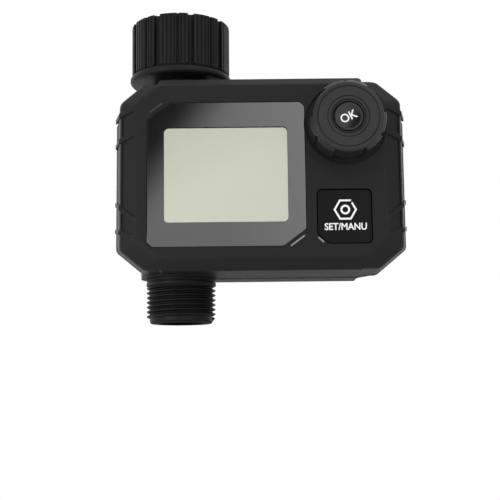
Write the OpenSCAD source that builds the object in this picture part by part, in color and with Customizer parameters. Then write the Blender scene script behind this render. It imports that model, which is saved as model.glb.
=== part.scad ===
// Drip irrigation timer: a battery-driven ball valve that screws onto a garden tap.
// Millimetres. +Z up, the front faces -Y. The pipe runs down the Z axis, and the
// origin is the middle of the inlet nut's mouth.

/* [Case] */
// Width of the case where its front bevel ends
case_w = 104; // [96:1:140]
// Height of the case between its top and bottom
case_h = 72; // [72:1:96]
// How far each side flares out between the bevel and the seam
flare = 4; // [1:0.5:6]
// Distance from the pipe axis forward to the front face
front_d = 27; // [26:0.5:34]
// Distance from the pipe axis back to the rear face
back_d = 21; // [21:0.5:30]
// Distance from the pipe axis to the middle of the case
case_shift = 31; // [30:0.5:34]
// Width of each corner cut
corner_w = 12; // [8:0.5:14]
// Height of each corner cut
corner_h = 10; // [7:0.5:12]
// Width of the front bevel along the sides
bevel_w = 5.6; // [3:0.2:7]
// Height of the front bevel along the top and bottom
bevel_h = 2.6; // [1.5:0.1:4]
// Depth of the front bevel
bevel_d = 3.5; // [2:0.25:4]
// How far the middle band stands above and below the corners
band_step = 0.9; // [0.4:0.1:1.5]
// Wall of both case halves
wall = 2.4; // [2:0.1:2.8]

/* [Display] */
// Width of the glossy window
window_w = 58; // [54:0.5:60]
// Height of the glossy window
window_h = 53.6; // [48:0.2:56]
// Thickness of the window
window_t = 1.5; // [1:0.1:1.6]
// Distance from the case's left side to the window
window_left = 10.3; // [9:0.1:12]
// Distance from the case's top to the window
window_top = 9.3; // [8:0.1:12]
// Width of the visible display
lcd_w = 45; // [38:0.5:46]
// Height of the visible display
lcd_h = 35.6; // [30:0.2:38]
// Thickness of the display glass
lcd_t = 2.2; // [1.6:0.1:2.6]

/* [Knob] */
// Distance from the case's right side to the knob's axis
knob_right = 20.6; // [20.5:0.1:23]
// Distance from the case's top to the knob's axis
knob_top = 17.9; // [17.5:0.1:21]
// How far the knob stands out of the front face
knob_h = 11; // [10:0.25:14]
// Radius of the knob's front face
knob_face_r = 12.8; // [11:0.1:13]
// Radius of the knob's lobes
knob_lobe_r = 13.7; // [13:0.1:14]
// Number of finger hollows around the knob
knob_lobes = 6; // [4:1:9]
// Radius of the shallow recess around the knob
moat_r = 15; // [14.5:0.1:15.2]
// Depth of that recess
moat_d = 0.8; // [0.4:0.1:1]
// Radius of the OK cap
ok_r = 5.3; // [4:0.1:6]
// Travel of the OK cap
ok_travel = 0.8; // [0.4:0.1:1]
// Radius of the encoder shaft
encoder_shaft_r = 3; // [2.5:0.1:3.2]

/* [Key] */
// Side of the square SET/MANU key
key_s = 20; // [16:0.2:20.4]
// Distance from the case's right side to the key's middle
key_right = 21.8; // [21:0.1:23]
// Distance from the case's bottom to the key's middle
key_bottom = 20.2; // [19:0.1:22]
// Travel of the key
key_travel = 0.8; // [0.4:0.1:1]

/* [Pipe] */
// Major radius of the 3/4 inch pipe thread
thread_r = 13.22; // [13.22]
// Minor radius of the 3/4 inch pipe thread
thread_root_r = 12.06; // [12.06]
// Pitch of the pipe thread
thread_pitch = 1.814; // [1.814]
// Length of the outlet spigot below the case
outlet_l = 17.1; // [15:0.1:24]
// Radius of the outlet's bore
outlet_bore_r = 9; // [8:0.1:9.4]
// Height of the inlet nut
nut_h = 23.5; // [21:0.5:26]
// Radius over the nut's ribs
nut_r = 19.2; // [18:0.1:20]
// Radius of the nut's lower flange
nut_flange_r = 19.9; // [19.5:0.1:21]
// Neck showing between the nut and the case
neck_gap = 4.9; // [4:0.1:8]
// Radius of the inlet neck
neck_r = 10.6; // [10.4:0.1:10.8]
// Radius of the neck's bore
neck_bore_r = 8.4; // [7.8:0.1:8.6]

/* [Valve] */
// Radius of the valve body inside the case
valve_r = 12.4; // [12:0.1:12.8]
// Radius of the ball
ball_r = 9; // [8.5:0.1:9.2]
// Radius of the hole through the ball
ball_bore_r = 5.6; // [4:0.1:5.8]
// Radius of the valve stem
stem_r = 3; // [2.6:0.1:3.2]
// Module of the three gears
gear_m = 0.8; // [0.7:0.05:0.8]
// Teeth on the output gear
output_teeth = 32; // [28:1:32]
// Teeth on the idler gear
idler_teeth = 20; // [18:1:20]
// Teeth on the motor pinion
pinion_teeth = 12; // [12:1:14]
// Width of the gears
gear_w = 4; // [3:0.25:4]
// Radius of the motor's can
motor_r = 6.5; // [5:0.1:6.8]

/* [Battery] */
// Diameter of an AA cell
cell_d = 14.5; // [14.5]
// Length of an AA cell
cell_l = 50.5; // [50.5]
// Distance from the case's right side to the battery box
box_right = 7.8; // [7.8:0.1:9]
// Thickness of the battery door
door_t = 2; // [1.6:0.1:2.6]

/* [Hidden] */
$fn = 48;

// Clearances
fit = 0.05;      // fixed pieces that sit in a hole
run = 0.04;      // a shaft that turns in its hole
slide_gap = 0.3; // around a key or cap that slides
eps = 0.02;      // thickness of the thin layers that a hull joins
cut = 1;         // how far a cutter runs past the face it opens

// Edges of the case
case_l = case_shift - case_w / 2;
case_r = case_shift + case_w / 2;
case_t = -(nut_h + neck_gap);
case_b = case_t - case_h;
case_mid = (case_t + case_b) / 2;
outlet_z = case_b - outlet_l;
front_in = -front_d + wall;
back_in = back_d - wall;
band_inset = 14;
front_corner = 0.75;
back_draft = 1.2;

// Ribs of the side walls: height above the middle, fall outwards and rise backwards per mm
side_ribs = [[23, 0.515, 0.25], [13.4, 0.5, 0.217], [-12, -0.817, 0.07], [-21, -0.397, 0.09]];
rib_t = 1.7;
rib_out = 0.4;
rib_end = 0.3;

// Gasket between the halves
gasket_t = 0.8;
gasket_w = 1;

// Screws of the case
screw_r = 1.45;
screw_boss_r = 2.9;
screw_head_r = 2.6;
screw_head_t = 1.8;
screw_seat_y = 6;
screw_depth = 13;
screw_spots = [
    [case_l + 3.4, case_mid + case_h * 0.29], [case_l + 3.4, case_mid - case_h * 0.29],
    [case_r - 3.3, case_mid + case_h * 0.29], [case_r - 3.3, case_mid - case_h * 0.29]
];

// Display
window_x = case_l + window_left + window_w / 2;
window_z = case_t - window_top - window_h / 2;
window_y = -front_d + 0.1;
window_back = window_y + window_t;
window_cut_w = 8.3;
window_cut_h = 6.2;
lcd_margin = 1.5;
lcd_y = window_back + fit;
lcd_back = lcd_y + lcd_t;
trim_t = 0.15;
trim_w = 1;
trim_off = 1.5;
trim_pocket = 0.4;

// Circuit board
board_t = 1.6;
board_y = -17;
board_back = board_y + board_t;
board_l = case_l + 7;
board_r = case_r - 9;
board_top = case_t - 8;
board_low = case_b + 8;
board_cut = 3;
board_boss_r = 2.2;
board_spots = [
    [board_l + 2.6, board_top - 3], [board_l + 2.6, board_low + 3],
    [board_r - 2.6, board_top - 3], [board_r - 2.6, case_b + key_bottom + key_s / 2 + 4],
    [window_x + lcd_w / 2 + lcd_margin + board_boss_r + 1.6, board_low + 3]
];
board_screw_r = 0.95;

// Knob and encoder
knob_x = case_r - knob_right;
knob_z = case_t - knob_top;
knob_front = -front_d - knob_h;
knob_skirt_y = knob_front + 3.5;
knob_low = -front_d + moat_d - slide_gap;
knob_wall = 1.8;
face_t = 0.6;
face_in_r = 7.45;
groove_r = 11.05;
well_r = ok_r + 0.25;
well_d = 5;
ok_t = well_d - ok_travel - 0.7;
rod_r = 1.4;
encoder_s = 12.4;
encoder_front = board_y - 6.6;
bushing_r = encoder_shaft_r + 1.4;
bushing_y = -front_d - 0.6;
hub_r = bushing_r + 0.6;
hub_y = bushing_y - 0.8;
shaft_front = knob_front + well_d + 0.6;
shaft_back = board_y - 2.8;
rod_end = shaft_back - 0.9;
switch_tip = rod_end + ok_travel + 0.15;

// SET/MANU key
key_x = case_r - key_right;
key_z = case_b + key_bottom;
key_front = -front_d + 0.4;
key_flange = 1.1;
key_cut = 4;
key_back = front_in + slide_gap + key_flange;
boot_s = 13;
boot_front = key_back + key_travel + 0.1;
boot_wall = 0.8;
tact_s = 6;

// Valve, down the Z axis
neck_top = -15.4;
nut_lip_t = 4;
nut_lip_z = -nut_h + nut_lip_t;
nut_thread_l = 12;
nut_relief_r = 12.7;
clip_t = 1.2;
clip_gap = 0.3;
collar_r = 12;
collar_flange_r = 13.6;
shoulder_z = case_t - wall - band_step;
ball_z = case_t - 30.6;
seat_t = 4.6;
seat_in_r = 6.4;
seat_reach = 10.4;
chamber_r = ball_r + 0.8;
seat_top = ball_z + seat_reach;
seat_low = ball_z - seat_reach;
valve_low = case_b + 9.4;
plug_r = chamber_r - fit;
plug_bore_r = 7.6;
outlet_collar_r = 13.4;
outlet_boss_r = 15.2;
outlet_boss_l = 8;
outlet_collar_z = case_b - 2.8;
seal_z = valve_low + 4;
thread_lead = 1.6;
crest_w = 0.45;
stem_seal_x = 14.6;
stem_groove_r = 2.15;

// Inlet nut, washer and filter
nut_lobes = 9;
nut_flange_t = 2.8;
nut_groove_r = 1.1;
washer_r = 11.9;
washer_in_r = 8.6;
washer_t = 1.4;
washer_rim_r = 10.6;
washer_rim_t = 1.4;
filter_r = 10.4;
filter_in_r = 8;
filter_t = 1.8;
filter_skirt_r = 8.2;
filter_skirt_t = 0.9;
filter_low = neck_top - 5;

// Gear train, in planes across X
boss_x = 18.6;
boss_r = 6;
plate_t = 1.8;
gear_x = boss_x + plate_t + 0.6;
cover_x = gear_x + gear_w + 0.6;
cover_t = 2;
motor_x = cover_x + cover_t;
pressure = 20;
addendum = 0.85;
dedendum = 1.15;
backlash = 0.12;
mesh_gap = 0.08;
output_pitch_r = gear_m * output_teeth / 2;
idler_pitch_r = gear_m * idler_teeth / 2;
pinion_pitch_r = gear_m * pinion_teeth / 2;
idler_y = 0;
idler_z = ball_z - output_pitch_r - idler_pitch_r - mesh_gap;
pinion_dir = -30;
pinion_gap = idler_pitch_r + pinion_pitch_r + mesh_gap;
pinion_y = idler_y + pinion_gap * cos(pinion_dir);
pinion_z = idler_z + pinion_gap * sin(pinion_dir);
axle_r = 1.5;
journal_r = 2;
motor_shaft_r = 1;
post_r = 2;
plate_front = -13.6;
plate_rear = back_in - 0.6;
plate_top = ball_z + 14.6;
plate_low = pinion_z - 8;
posts = [[16, ball_z + 11], [-11, pinion_z - 2], [16, ball_z - 10]];

// Battery box
box_wall = 1.2;
cell_gap = 0.2;
contact_gap = 2.2;
cell_mid = case_mid + 0.5;
box_in_r = case_r - box_right - box_wall;
box_in_w = 2 * cell_d + 2 * cell_gap;
box_in_l = box_in_r - box_in_w;
cell_low = cell_mid - cell_l / 2;
cell_top = cell_mid + cell_l / 2;
box_low = cell_low - contact_gap;
box_top = cell_top + contact_gap;
cell_y = back_in - 1 - cell_d / 2;
box_front = cell_y - cell_d / 2 - 0.3;
cell_right_x = box_in_r - cell_gap / 2 - cell_d / 2;
cell_left_x = box_in_l + cell_gap / 2 + cell_d / 2;
motor_l = box_in_l - box_wall - motor_x - 0.5;
plate_s = 10;
contact_t = 0.4;
spring_wire_r = 0.3;
lead_r = 0.6;

// Battery door, hinged along its lower edge
door_gap = 0.3;
door_lap = 2.2;
door_cut = 4.6;
door_y = back_d + door_gap;
door_rim_t = 1.2;
door_rim_gap = 0.45;
door_rim_d = 2.2;
knuckle_r = 1.8;
pin_r = 0.9;
pin_y = door_y + door_t / 2 + 1;
pin_z = box_low - door_lap - 2.1;
knuckle_w = 12;
lug_w = 3;
hinge_x = (box_in_l + box_in_r) / 2;
seal_w = 1;
seal_groove = 0.7;

// ---- Shared shapes -----------------------------------------------------------

module box(x0, x1, y0, y1, z0, z1)
    translate([x0, y0, z0]) cube([x1 - x0, y1 - y0, z1 - z0]);

// Stands a drawing of the front view up, between two depths
module slab(y0, y1)
    translate([0, y1, 0]) rotate([90, 0, 0]) linear_extrude(y1 - y0) children();

// Stands a drawing of the (Y, Z) plane up, between two X positions
module plane_x(x0, x1)
    translate([x0, 0, 0]) rotate([90, 0, 90]) linear_extrude(x1 - x0) children();

module rod_x(r, x0, x1) translate([x0, 0, 0]) rotate([0, 90, 0]) cylinder(r = r, h = x1 - x0);
module rod_y(r, y0, y1) translate([0, y1, 0]) rotate([90, 0, 0]) cylinder(r = r, h = y1 - y0);
module rod_z(r, z0, z1) translate([0, 0, z0]) cylinder(r = r, h = z1 - z0);
module at_knob() translate([knob_x, 0, knob_z]) children();
module at_key() translate([key_x, 0, key_z]) children();

module ring_z(r_out, r_in, z0, z1)
    difference() {
        rod_z(r_out, z0, z1);
        rod_z(r_in, z0 - cut, z1 + cut);
    }

function unit(v) = v / norm(v);

// Rounds each corner of a closed outline with a short parabola
function rounded(pts, r) = [
    for (i = [0 : len(pts) - 1])
        let (
            v = pts[i],
            a = v + r * unit(pts[(i + len(pts) - 1) % len(pts)] - v),
            b = v + r * unit(pts[(i + 1) % len(pts)] - v)
        )
        for (t = [0, 1/3, 2/3, 1])
            (1 - t) * (1 - t) * a + 2 * t * (1 - t) * v + t * t * b
];

// A box with cut corners, starting at the lower left: cuts are [width, height]
function cut_box(w, h, low_left, low_right, top_right, top_left) = [
    [-w/2 + low_left[0], -h/2], [w/2 - low_right[0], -h/2],
    [w/2, -h/2 + low_right[1]], [w/2, h/2 - top_right[1]],
    [w/2 - top_right[0], h/2], [-w/2 + top_left[0], h/2],
    [-w/2, h/2 - top_left[1]], [-w/2, -h/2 + low_left[1]]
];

// The case's outline, drawn in from its sides and from its top and bottom
module case_outline(in_x, in_z, corner) {
    c = [corner_w * corner, corner_h * corner];
    h = case_h - 2 * band_step - 2 * in_z;
    translate([case_shift, case_mid])
        polygon(rounded(cut_box(case_w - 2 * in_x, h, c, c, c, c), 1.6));
}

module case_layer(y, in_x, in_z, corner)
    slab(y, y + eps) case_outline(in_x, in_z, corner);

// Involute of a base circle at an angle in degrees of roll
function involute(base, roll) =
    base * [cos(roll) + roll * PI / 180 * sin(roll), sin(roll) - roll * PI / 180 * cos(roll)];
function turned(p, a) = [p[0] * cos(a) - p[1] * sin(a), p[0] * sin(a) + p[1] * cos(a)];
function roll_at(base, r) = r <= base ? 0 : sqrt(r * r / base / base - 1) * 180 / PI;

// Outline of a spur gear; the first tooth points along its own X axis
module gear_outline(teeth, phase) {
    pitch = gear_m * teeth / 2;
    base = pitch * cos(pressure);
    tip = pitch + addendum * gear_m;
    root = pitch - dedendum * gear_m;
    low = max(base, root);
    lean = roll_at(base, pitch) - atan(roll_at(base, pitch) * PI / 180);
    half = 90 / teeth - backlash / 2 / pitch * 180 / PI;
    steps = 4;
    first = roll_at(base, low);
    last = roll_at(base, tip);
    flank = [
        for (i = [0 : steps])
            turned(involute(base, first + (last - first) * i / steps), -half - lean)
    ];
    foot = atan2(flank[0][1], flank[0][0]);
    tooth = concat(
        [root * [cos(foot), sin(foot)]],
        flank,
        [for (i = [steps : -1 : 0]) [flank[i][0], -flank[i][1]]],
        [root * [cos(foot), -sin(foot)]]
    );
    polygon([
        for (k = [0 : teeth - 1]) for (p = tooth) turned(p, phase + k * 360 / teeth)
    ]);
}

// A round wire along a route: rings of points square to the route, joined up
module wire(route, r, sides) {
    last = len(route) - 1;
    dirs = [
        for (i = [0 : last])
            unit((i < last ? unit(route[i + 1] - route[i]) : [0, 0, 0])
                + (i > 0 ? unit(route[i] - route[i - 1]) : [0, 0, 0]))
    ];
    side_dirs = [for (d = dirs) unit(cross(d, abs(d[0]) < 0.8 ? [1, 0, 0.3] : [0, 0.3, 1]))];
    rings = [
        for (i = [0 : last]) for (k = [0 : sides - 1])
            let (a = 360 * k / sides)
            route[i] + r * (cos(a) * side_dirs[i] + sin(a) * cross(dirs[i], side_dirs[i]))
    ];
    sleeves = [
        for (i = [0 : last - 1]) for (k = [0 : sides - 1])
            let (a = i * sides + k, b = i * sides + (k + 1) % sides)
            each [[a, a + sides, b + sides], [a, b + sides, b]]
    ];
    ends = [
        [for (k = [0 : sides - 1]) k],
        [for (k = [sides - 1 : -1 : 0]) last * sides + k]
    ];
    polyhedron(points = rings, faces = concat(sleeves, ends));
}

// ---- Case --------------------------------------------------------------------

// The taller middle band of the top and bottom
module middle_band(y0, y1)
    slab(y0, y1)
        translate([case_shift, case_mid])
            polygon(cut_box(case_w - 2 * band_inset, case_h,
                [1, 1], [1, 1], [1, 1], [1, 1]));

// A rib across the left wall, from the seam to the bevel: a plate that leans out and back
module rib(spot) {
    lean = -atan(spot[1]);
    rise = atan(spot[2] * cos(lean));
    wall_y = -front_d + bevel_d;
    seen = [
        [-flare - rib_out, -rib_end], [-flare - rib_out, -3],
        [-rib_out, wall_y], [bevel_w - 2, -front_d + 1.2],
        [bevel_w - 1, -front_d + wall], [0.5, -front_d + wall + 3], [-flare + 1, -rib_end]
    ];
    translate([case_l, wall_y, case_mid + spot[0]]) rotate([rise, lean, 0])
        translate([0, 0, -rib_t / 2]) linear_extrude(rib_t)
            polygon([
                for (p = seen)
                    let (y = p[1] - wall_y)
                    [(p[0] - y * tan(rise) * sin(lean)) / cos(lean), y / cos(rise)]
            ]);
}

// The boss round the outlet, on one half of the case
module outlet_boss(y0, y1) intersection() {
    rod_z(outlet_boss_r, case_b, case_b + outlet_boss_l);
    box(-outlet_boss_r, outlet_boss_r, y0, y1, case_b, case_b + outlet_boss_l);
}

module pipe_space(gap) {
    rod_z(collar_r + gap, case_mid, case_t + cut);
    rod_z(collar_flange_r + gap, shoulder_z - 6, shoulder_z);
    rod_z(valve_r + gap, case_b - cut, case_mid);
}

module front_shell() color("dimgray") {
    in_bevel = bevel_w * 0.55 + wall;
    difference() {
        union() {
            hull() {
                case_layer(-front_d, bevel_w, bevel_h, front_corner);
                case_layer(-front_d + bevel_d, 0, 0, front_corner);
            }
            hull() {
                case_layer(-front_d + bevel_d, 0, 0, front_corner);
                case_layer(-eps, -flare, 0, 1);
            }
            middle_band(-front_d + bevel_d, 0);
            outlet_boss(-outlet_boss_r, 0);
            slab(-front_d - trim_t, -front_d + cut) dark_bar();
            for (spot = side_ribs) rib(spot);
            for (spot = side_ribs)
                translate([2 * case_shift, 0, 0]) mirror([1, 0, 0]) rib(spot);
        }
        difference() {
            hull() {
                case_layer(front_in, in_bevel, wall, front_corner);
                case_layer(0, wall - flare, wall, 1);
            }
            for (s = screw_spots)
                translate([s[0], 0, s[1]]) rod_y(screw_boss_r, front_in - cut, cut);
            for (s = board_spots)
                translate([s[0], 0, s[1]]) rod_y(board_boss_r, front_in - cut, board_y);
        }
        // window recess, display opening, key opening and knob recess
        slab(-front_d - cut, window_back)
            window_outline(2 * fit);
        slab(window_back - cut, front_in + cut)
            translate([window_x, window_z])
                square([lcd_w + 2 * lcd_margin + 2 * fit, lcd_h + 2 * lcd_margin + 2 * fit],
                    center = true);
        slab(-front_d - cut, front_in + cut)
            translate([key_x, key_z]) key_outline(key_s + 2 * slide_gap);
        slab(-front_d - cut, -front_d + trim_pocket) silver_bars(fit);
        at_knob() rod_y(moat_r, -front_d - cut, -front_d + moat_d);
        at_knob() rod_y(bushing_r + 0.1, -front_d - cut, front_in + cut);
        // screw holes
        for (s = screw_spots)
            translate([s[0], 0, s[1]]) rod_y(screw_r + fit, -screw_depth, cut);
        for (s = board_spots)
            translate([s[0], 0, s[1]]) rod_y(board_screw_r + fit, board_y - 5, board_y + cut);
        pipe_space(fit);
    }
}

module battery_box_space() {
    box(box_in_l, box_in_r, box_front, back_d + cut, box_low, box_top);
}

module rear_shell() color("dimgray") difference() {
    union() {
        difference() {
            union() {
                hull() {
                    case_layer(0, -flare, 0, 1);
                    case_layer(back_d - eps, -flare * 0.2, back_draft, 1);
                }
                middle_band(0, back_d * 0.6);
                outlet_boss(0, outlet_boss_r);
            }
            difference() {
                hull() {
                    case_layer(-eps, wall - flare, wall, 1);
                    case_layer(back_in, wall - flare * 0.2, wall + back_draft, 1);
                }
                for (s = screw_spots)
                    translate([s[0], 0, s[1]]) rod_y(screw_boss_r + 0.9, -cut, back_d);
                box(box_in_l - box_wall, box_in_r + box_wall, box_front - box_wall,
                    back_d, box_low - box_wall, box_top + box_wall);
            }
        }
        // hinge lugs
        for (side = [-1, 1])
            translate([hinge_x + side * (knuckle_w / 2 + slide_gap + lug_w / 2), 0, 0]) hinge_lug();
    }
    battery_box_space();
    for (s = screw_spots) translate([s[0], 0, s[1]]) {
        rod_y(screw_head_r + 0.3, screw_seat_y, back_d + cut);
        rod_y(screw_r + 0.25, -cut, screw_seat_y + cut);
    }
    translate([hinge_x, pin_y, pin_z])
        rod_x(knuckle_r + 0.3, -knuckle_w / 2 - slide_gap, knuckle_w / 2 + slide_gap);
    translate([hinge_x, pin_y, pin_z]) rod_x(pin_r + fit, -knuckle_w, knuckle_w);
    slab(back_d - seal_groove, back_d + cut) seal_outline(fit);
    slab(0, gasket_t) gasket_outline(fit);
    pipe_space(fit);
}

// One ear of the door's hinge, on the back of the case
module hinge_lug()
    plane_x(-lug_w / 2, lug_w / 2) union() {
        translate([pin_y, pin_z]) circle(r = knuckle_r);
        translate([back_d - 1, pin_z - knuckle_r]) square([pin_y - back_d + 1, 2 * knuckle_r]);
    }

module gasket_outline(gap) {
    difference() {
        case_outline(0.75 * wall - gasket_w - flare - gap, 0.75 * wall - gasket_w - gap, 1);
        case_outline(0.75 * wall - flare + gap, 0.75 * wall + gap, 1);
    }
}

module case_gasket() color("black") difference() {
    slab(0, gasket_t) gasket_outline(0);
    rod_z(collar_flange_r + 1, case_mid, case_t + cut);
    rod_z(valve_r + 1, case_b - cut, case_mid);
}

module case_screws() color("silver")
    for (s = screw_spots) translate([s[0], 0, s[1]]) difference() {
        union() {
            rod_y(screw_head_r, screw_seat_y, screw_seat_y + screw_head_t);
            rod_y(screw_r, 1.5 - screw_depth, screw_seat_y);
        }
        slab(screw_seat_y + screw_head_t - 0.9, screw_seat_y + screw_head_t + cut) {
            square([3, 0.8], center = true);
            square([0.8, 3], center = true);
        }
    }

// ---- Display -----------------------------------------------------------------

module window_outline(gap) {
    small = [1.8, 1.8];
    difference() {
        translate([window_x, window_z])
            polygon(rounded(cut_box(window_w + 2 * gap, window_h + 2 * gap,
                small, [window_cut_w, window_cut_h], small, [window_cut_w, window_cut_h]), 0.7));
        translate([knob_x, knob_z]) circle(r = moat_r + 0.3 - gap);
    }
}

// A short bar just outside a corner cut: the cut's middle, its lean, which way is out
module cut_bar(middle, lean, out, length, gap)
    translate(middle) rotate(lean) translate([0, out * trim_off])
        square([length + 2 * gap, trim_w + 2 * gap], center = true);

window_lean = atan(window_cut_h / window_cut_w);
key_lean = -atan(0.9);

// The bars beside the window's lower right cut and the key's lower left cut
module silver_bars(gap) {
    cut_bar([window_x + (window_w - window_cut_w) / 2, window_z - (window_h - window_cut_h) / 2],
        window_lean, -1, 6.6, gap);
    cut_bar([key_x - (key_s - key_cut) / 2, key_z - (key_s - 0.9 * key_cut) / 2],
        key_lean, -1, 3.4, gap);
}

// The dark bar beside the window's upper left cut, part of the shell
module dark_bar()
    cut_bar([window_x - (window_w - window_cut_w) / 2, window_z + (window_h - window_cut_h) / 2],
        window_lean, 1, 5.6, 0);

module display_window() color("black", 0.75) {
    slab(window_y, window_back) window_outline(0);
}

module trim_bars() color("silver")
    slab(-front_d - trim_t, -front_d + trim_pocket) silver_bars(0);

module lcd_panel() color("gainsboro")
    slab(lcd_y, lcd_back) translate([window_x, window_z])
        square([lcd_w + 2 * lcd_margin, lcd_h + 2 * lcd_margin], center = true);

module lcd_frame() color("white")
    slab(lcd_back, board_y) translate([window_x, window_z]) difference() {
        square([lcd_w + 2 * lcd_margin, lcd_h + 2 * lcd_margin], center = true);
        square([lcd_w - 3, lcd_h - 3], center = true);
    }

module lcd_connector() color("slategray")
    for (side = [-1, 1])
        slab(lcd_back + fit, board_y) translate([window_x, window_z + side * (lcd_h / 2 - 3.2)])
            square([lcd_w - 6, 2.2], center = true);

// ---- Circuit board -----------------------------------------------------------

module circuit_board() color("darkgreen") slab(board_y, board_back) difference() {
    translate([(board_l + board_r) / 2, (board_low + board_top) / 2]) {
        c = [board_cut, board_cut];
        polygon(cut_box(board_r - board_l, board_top - board_low, c, c, c, c));
    }
    for (s = board_spots) translate(s) circle(r = board_screw_r + 0.15);
}

module board_screws() color("silver")
    for (s = board_spots) translate([s[0], 0, s[1]]) {
        rod_y(board_screw_r, board_y - 4, board_back);
        rod_y(1.8, board_back, board_back + 1.3);
    }

module board_chips() color("black") {
    for (spot = [[6, 8, 9, 7], [-2, -14, 7, 7], [23, 20, 8, 5]])
        translate([window_x + spot[0], board_back, window_z + spot[1]])
            translate([-spot[2] / 2, 0, -spot[3] / 2]) cube([spot[2], 1.4, spot[3]]);
    translate([window_x + 23, 0, window_z + 10]) rod_y(2.5, board_back, board_back + 6);
}

// ---- SET/MANU key ------------------------------------------------------------

module key_outline(side) {
    small = [1.2, 1.2];
    polygon(rounded(cut_box(side, side, [key_cut, key_cut * 0.9], small, small, small), 0.8));
}

module set_key() color("black") at_key() {
    slab(key_front, front_in + slide_gap) key_outline(key_s);
    slab(front_in + slide_gap, key_back) key_outline(key_s + 2 * slide_gap + 1.6);
}

module key_boot() color("dimgray") at_key() difference() {
    slab(boot_front, board_y) square(boot_s, center = true);
    slab(boot_front + boot_wall, board_y + cut) square(boot_s - 2 * boot_wall, center = true);
}

module set_switch() color("silver") at_key() {
    slab(board_y - 3.4, board_y) square(tact_s, center = true);
    rod_y(1.6, boot_front + boot_wall + 0.1, board_y - 3.4);
}

// ---- Knob --------------------------------------------------------------------

module knob() color("dimgray") at_knob() difference() {
    union() {
        difference() {
            union() {
                rod_y(knob_face_r, knob_front, knob_skirt_y);
                difference() {
                    rod_y(knob_lobe_r, knob_skirt_y, knob_low);
                    for (k = [0 : knob_lobes - 1]) rotate([0, k * 360 / knob_lobes + 90, 0])
                        translate([knob_lobe_r + 4.6, 0, 0])
                            rod_y(5.8, knob_skirt_y - cut, knob_low + cut);
                }
            }
            rod_y(knob_lobe_r - knob_wall - 1.6, knob_front + well_d + 0.6, knob_low + cut);
        }
        rod_y(hub_r, knob_front + well_d, hub_y);
    }
    rod_y(knob_face_r - 0.9, knob_front - cut, knob_front + face_t);
    rod_y(well_r, knob_front - cut, knob_front + well_d);
    rod_y(rod_r + 0.3, knob_front, knob_low);
    rod_y(encoder_shaft_r + fit, shaft_front, knob_low);
}

module knob_face() color("dimgray") at_knob() difference() {
    rod_y(knob_face_r - 0.9 - fit, knob_front + 0.1, knob_front + face_t);
    rod_y(well_r, knob_front - cut, knob_front + well_d);
    for (r = [groove_r, face_in_r]) difference() {
        rod_y(r + 0.2, knob_front - cut, knob_front + 0.35);
        rod_y(r - 0.2, knob_front - 2 * cut, knob_front + cut);
    }
}

module ok_cap() color("black") at_knob() {
    difference() {
        rod_y(ok_r, knob_front + 0.2, knob_front + ok_t);
        translate([0, knob_front + 0.2 - 30, 0]) sphere(r = 30.35, $fn = 96);
    }
    rod_y(rod_r, knob_front + ok_t, rod_end);
}

module encoder_body() color("silver") at_knob() difference() {
    union() {
        slab(encoder_front, board_y) square(encoder_s, center = true);
        rod_y(bushing_r, bushing_y, encoder_front);
    }
    rod_y(encoder_shaft_r + run, bushing_y - cut, shaft_back + 0.3);
    slab(shaft_back + 0.25, board_y + cut) square(tact_s, center = true);
}

module encoder_shaft() color("gray") at_knob() difference() {
    rod_y(encoder_shaft_r, shaft_front, shaft_back);
    rod_y(rod_r + 0.08, shaft_front - cut, shaft_back + cut);
}

module knob_seal() color("black") at_knob() difference() {
    rod_y(bushing_r + 2, hub_y + 0.25, -front_d + moat_d);
    rod_y(bushing_r + fit, hub_y - cut, front_in);
}

module ok_switch() color("black") at_knob() {
    slab(board_y - 1.6, board_y) square(tact_s - 0.4, center = true);
    rod_y(1.2, switch_tip, board_y - 1.6);
}

// ---- Batteries ---------------------------------------------------------------

module seal_outline(gap) translate([hinge_x, (box_low + box_top) / 2]) difference() {
    square([box_in_w + 2.4 + 2 * gap, box_top - box_low + 2.4 + 2 * gap], center = true);
    square([box_in_w + 2.4 - 2 * seal_w - 2 * gap, box_top - box_low + 2.4 - 2 * seal_w - 2 * gap],
        center = true);
}

module battery_door() color("dimgray") difference() {
    union() {
        slab(door_y, door_y + door_t)
            translate([hinge_x, (box_low + box_top) / 2]) polygon(rounded(
                cut_box(box_in_w + 2 * door_lap, box_top - box_low + 2 * door_lap,
                    [2, 2], [door_cut, door_cut], [door_cut, door_cut], [2, 2]), 0.8));
        difference() {
            box(box_in_l + door_rim_gap, box_in_r - door_rim_gap, back_d - door_rim_d,
                door_y + 0.5, box_low + door_rim_gap, box_top - door_rim_gap);
            box(box_in_l + door_rim_gap + door_rim_t, box_in_r - door_rim_gap - door_rim_t,
                back_d - door_rim_d - cut, door_y, box_low + door_rim_gap + door_rim_t,
                box_top - door_rim_gap - door_rim_t);
        }
        translate([hinge_x, 0, 0]) plane_x(-knuckle_w / 2, knuckle_w / 2) union() {
            translate([pin_y, pin_z]) circle(r = knuckle_r);
            translate([door_y, pin_z]) square([pin_y + knuckle_r - door_y, box_low - door_lap - pin_z + 1]);
        }
        // thumb tab
        box(hinge_x - 6, hinge_x + 6, door_y, door_y + door_t + 1, box_top + door_lap - 3,
            box_top + door_lap + 1.2);
    }
    translate([hinge_x, pin_y, pin_z]) rod_x(pin_r + run, -knuckle_w, knuckle_w);
    // grip grooves across the door
    for (k = [0 : 3])
        box(hinge_x - 9, hinge_x + 9, door_y + door_t - 0.5, door_y + door_t + cut,
            box_top - 12 + k * 2.4, box_top - 11 + k * 2.4);
}

module door_pin() color("silver")
    translate([hinge_x, pin_y, pin_z])
        rod_x(pin_r, -knuckle_w / 2 - slide_gap - lug_w, knuckle_w / 2 + slide_gap + lug_w);

module battery_seal() color("black")
    slab(back_d - seal_groove, back_d + 0.2) seal_outline(0);

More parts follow.
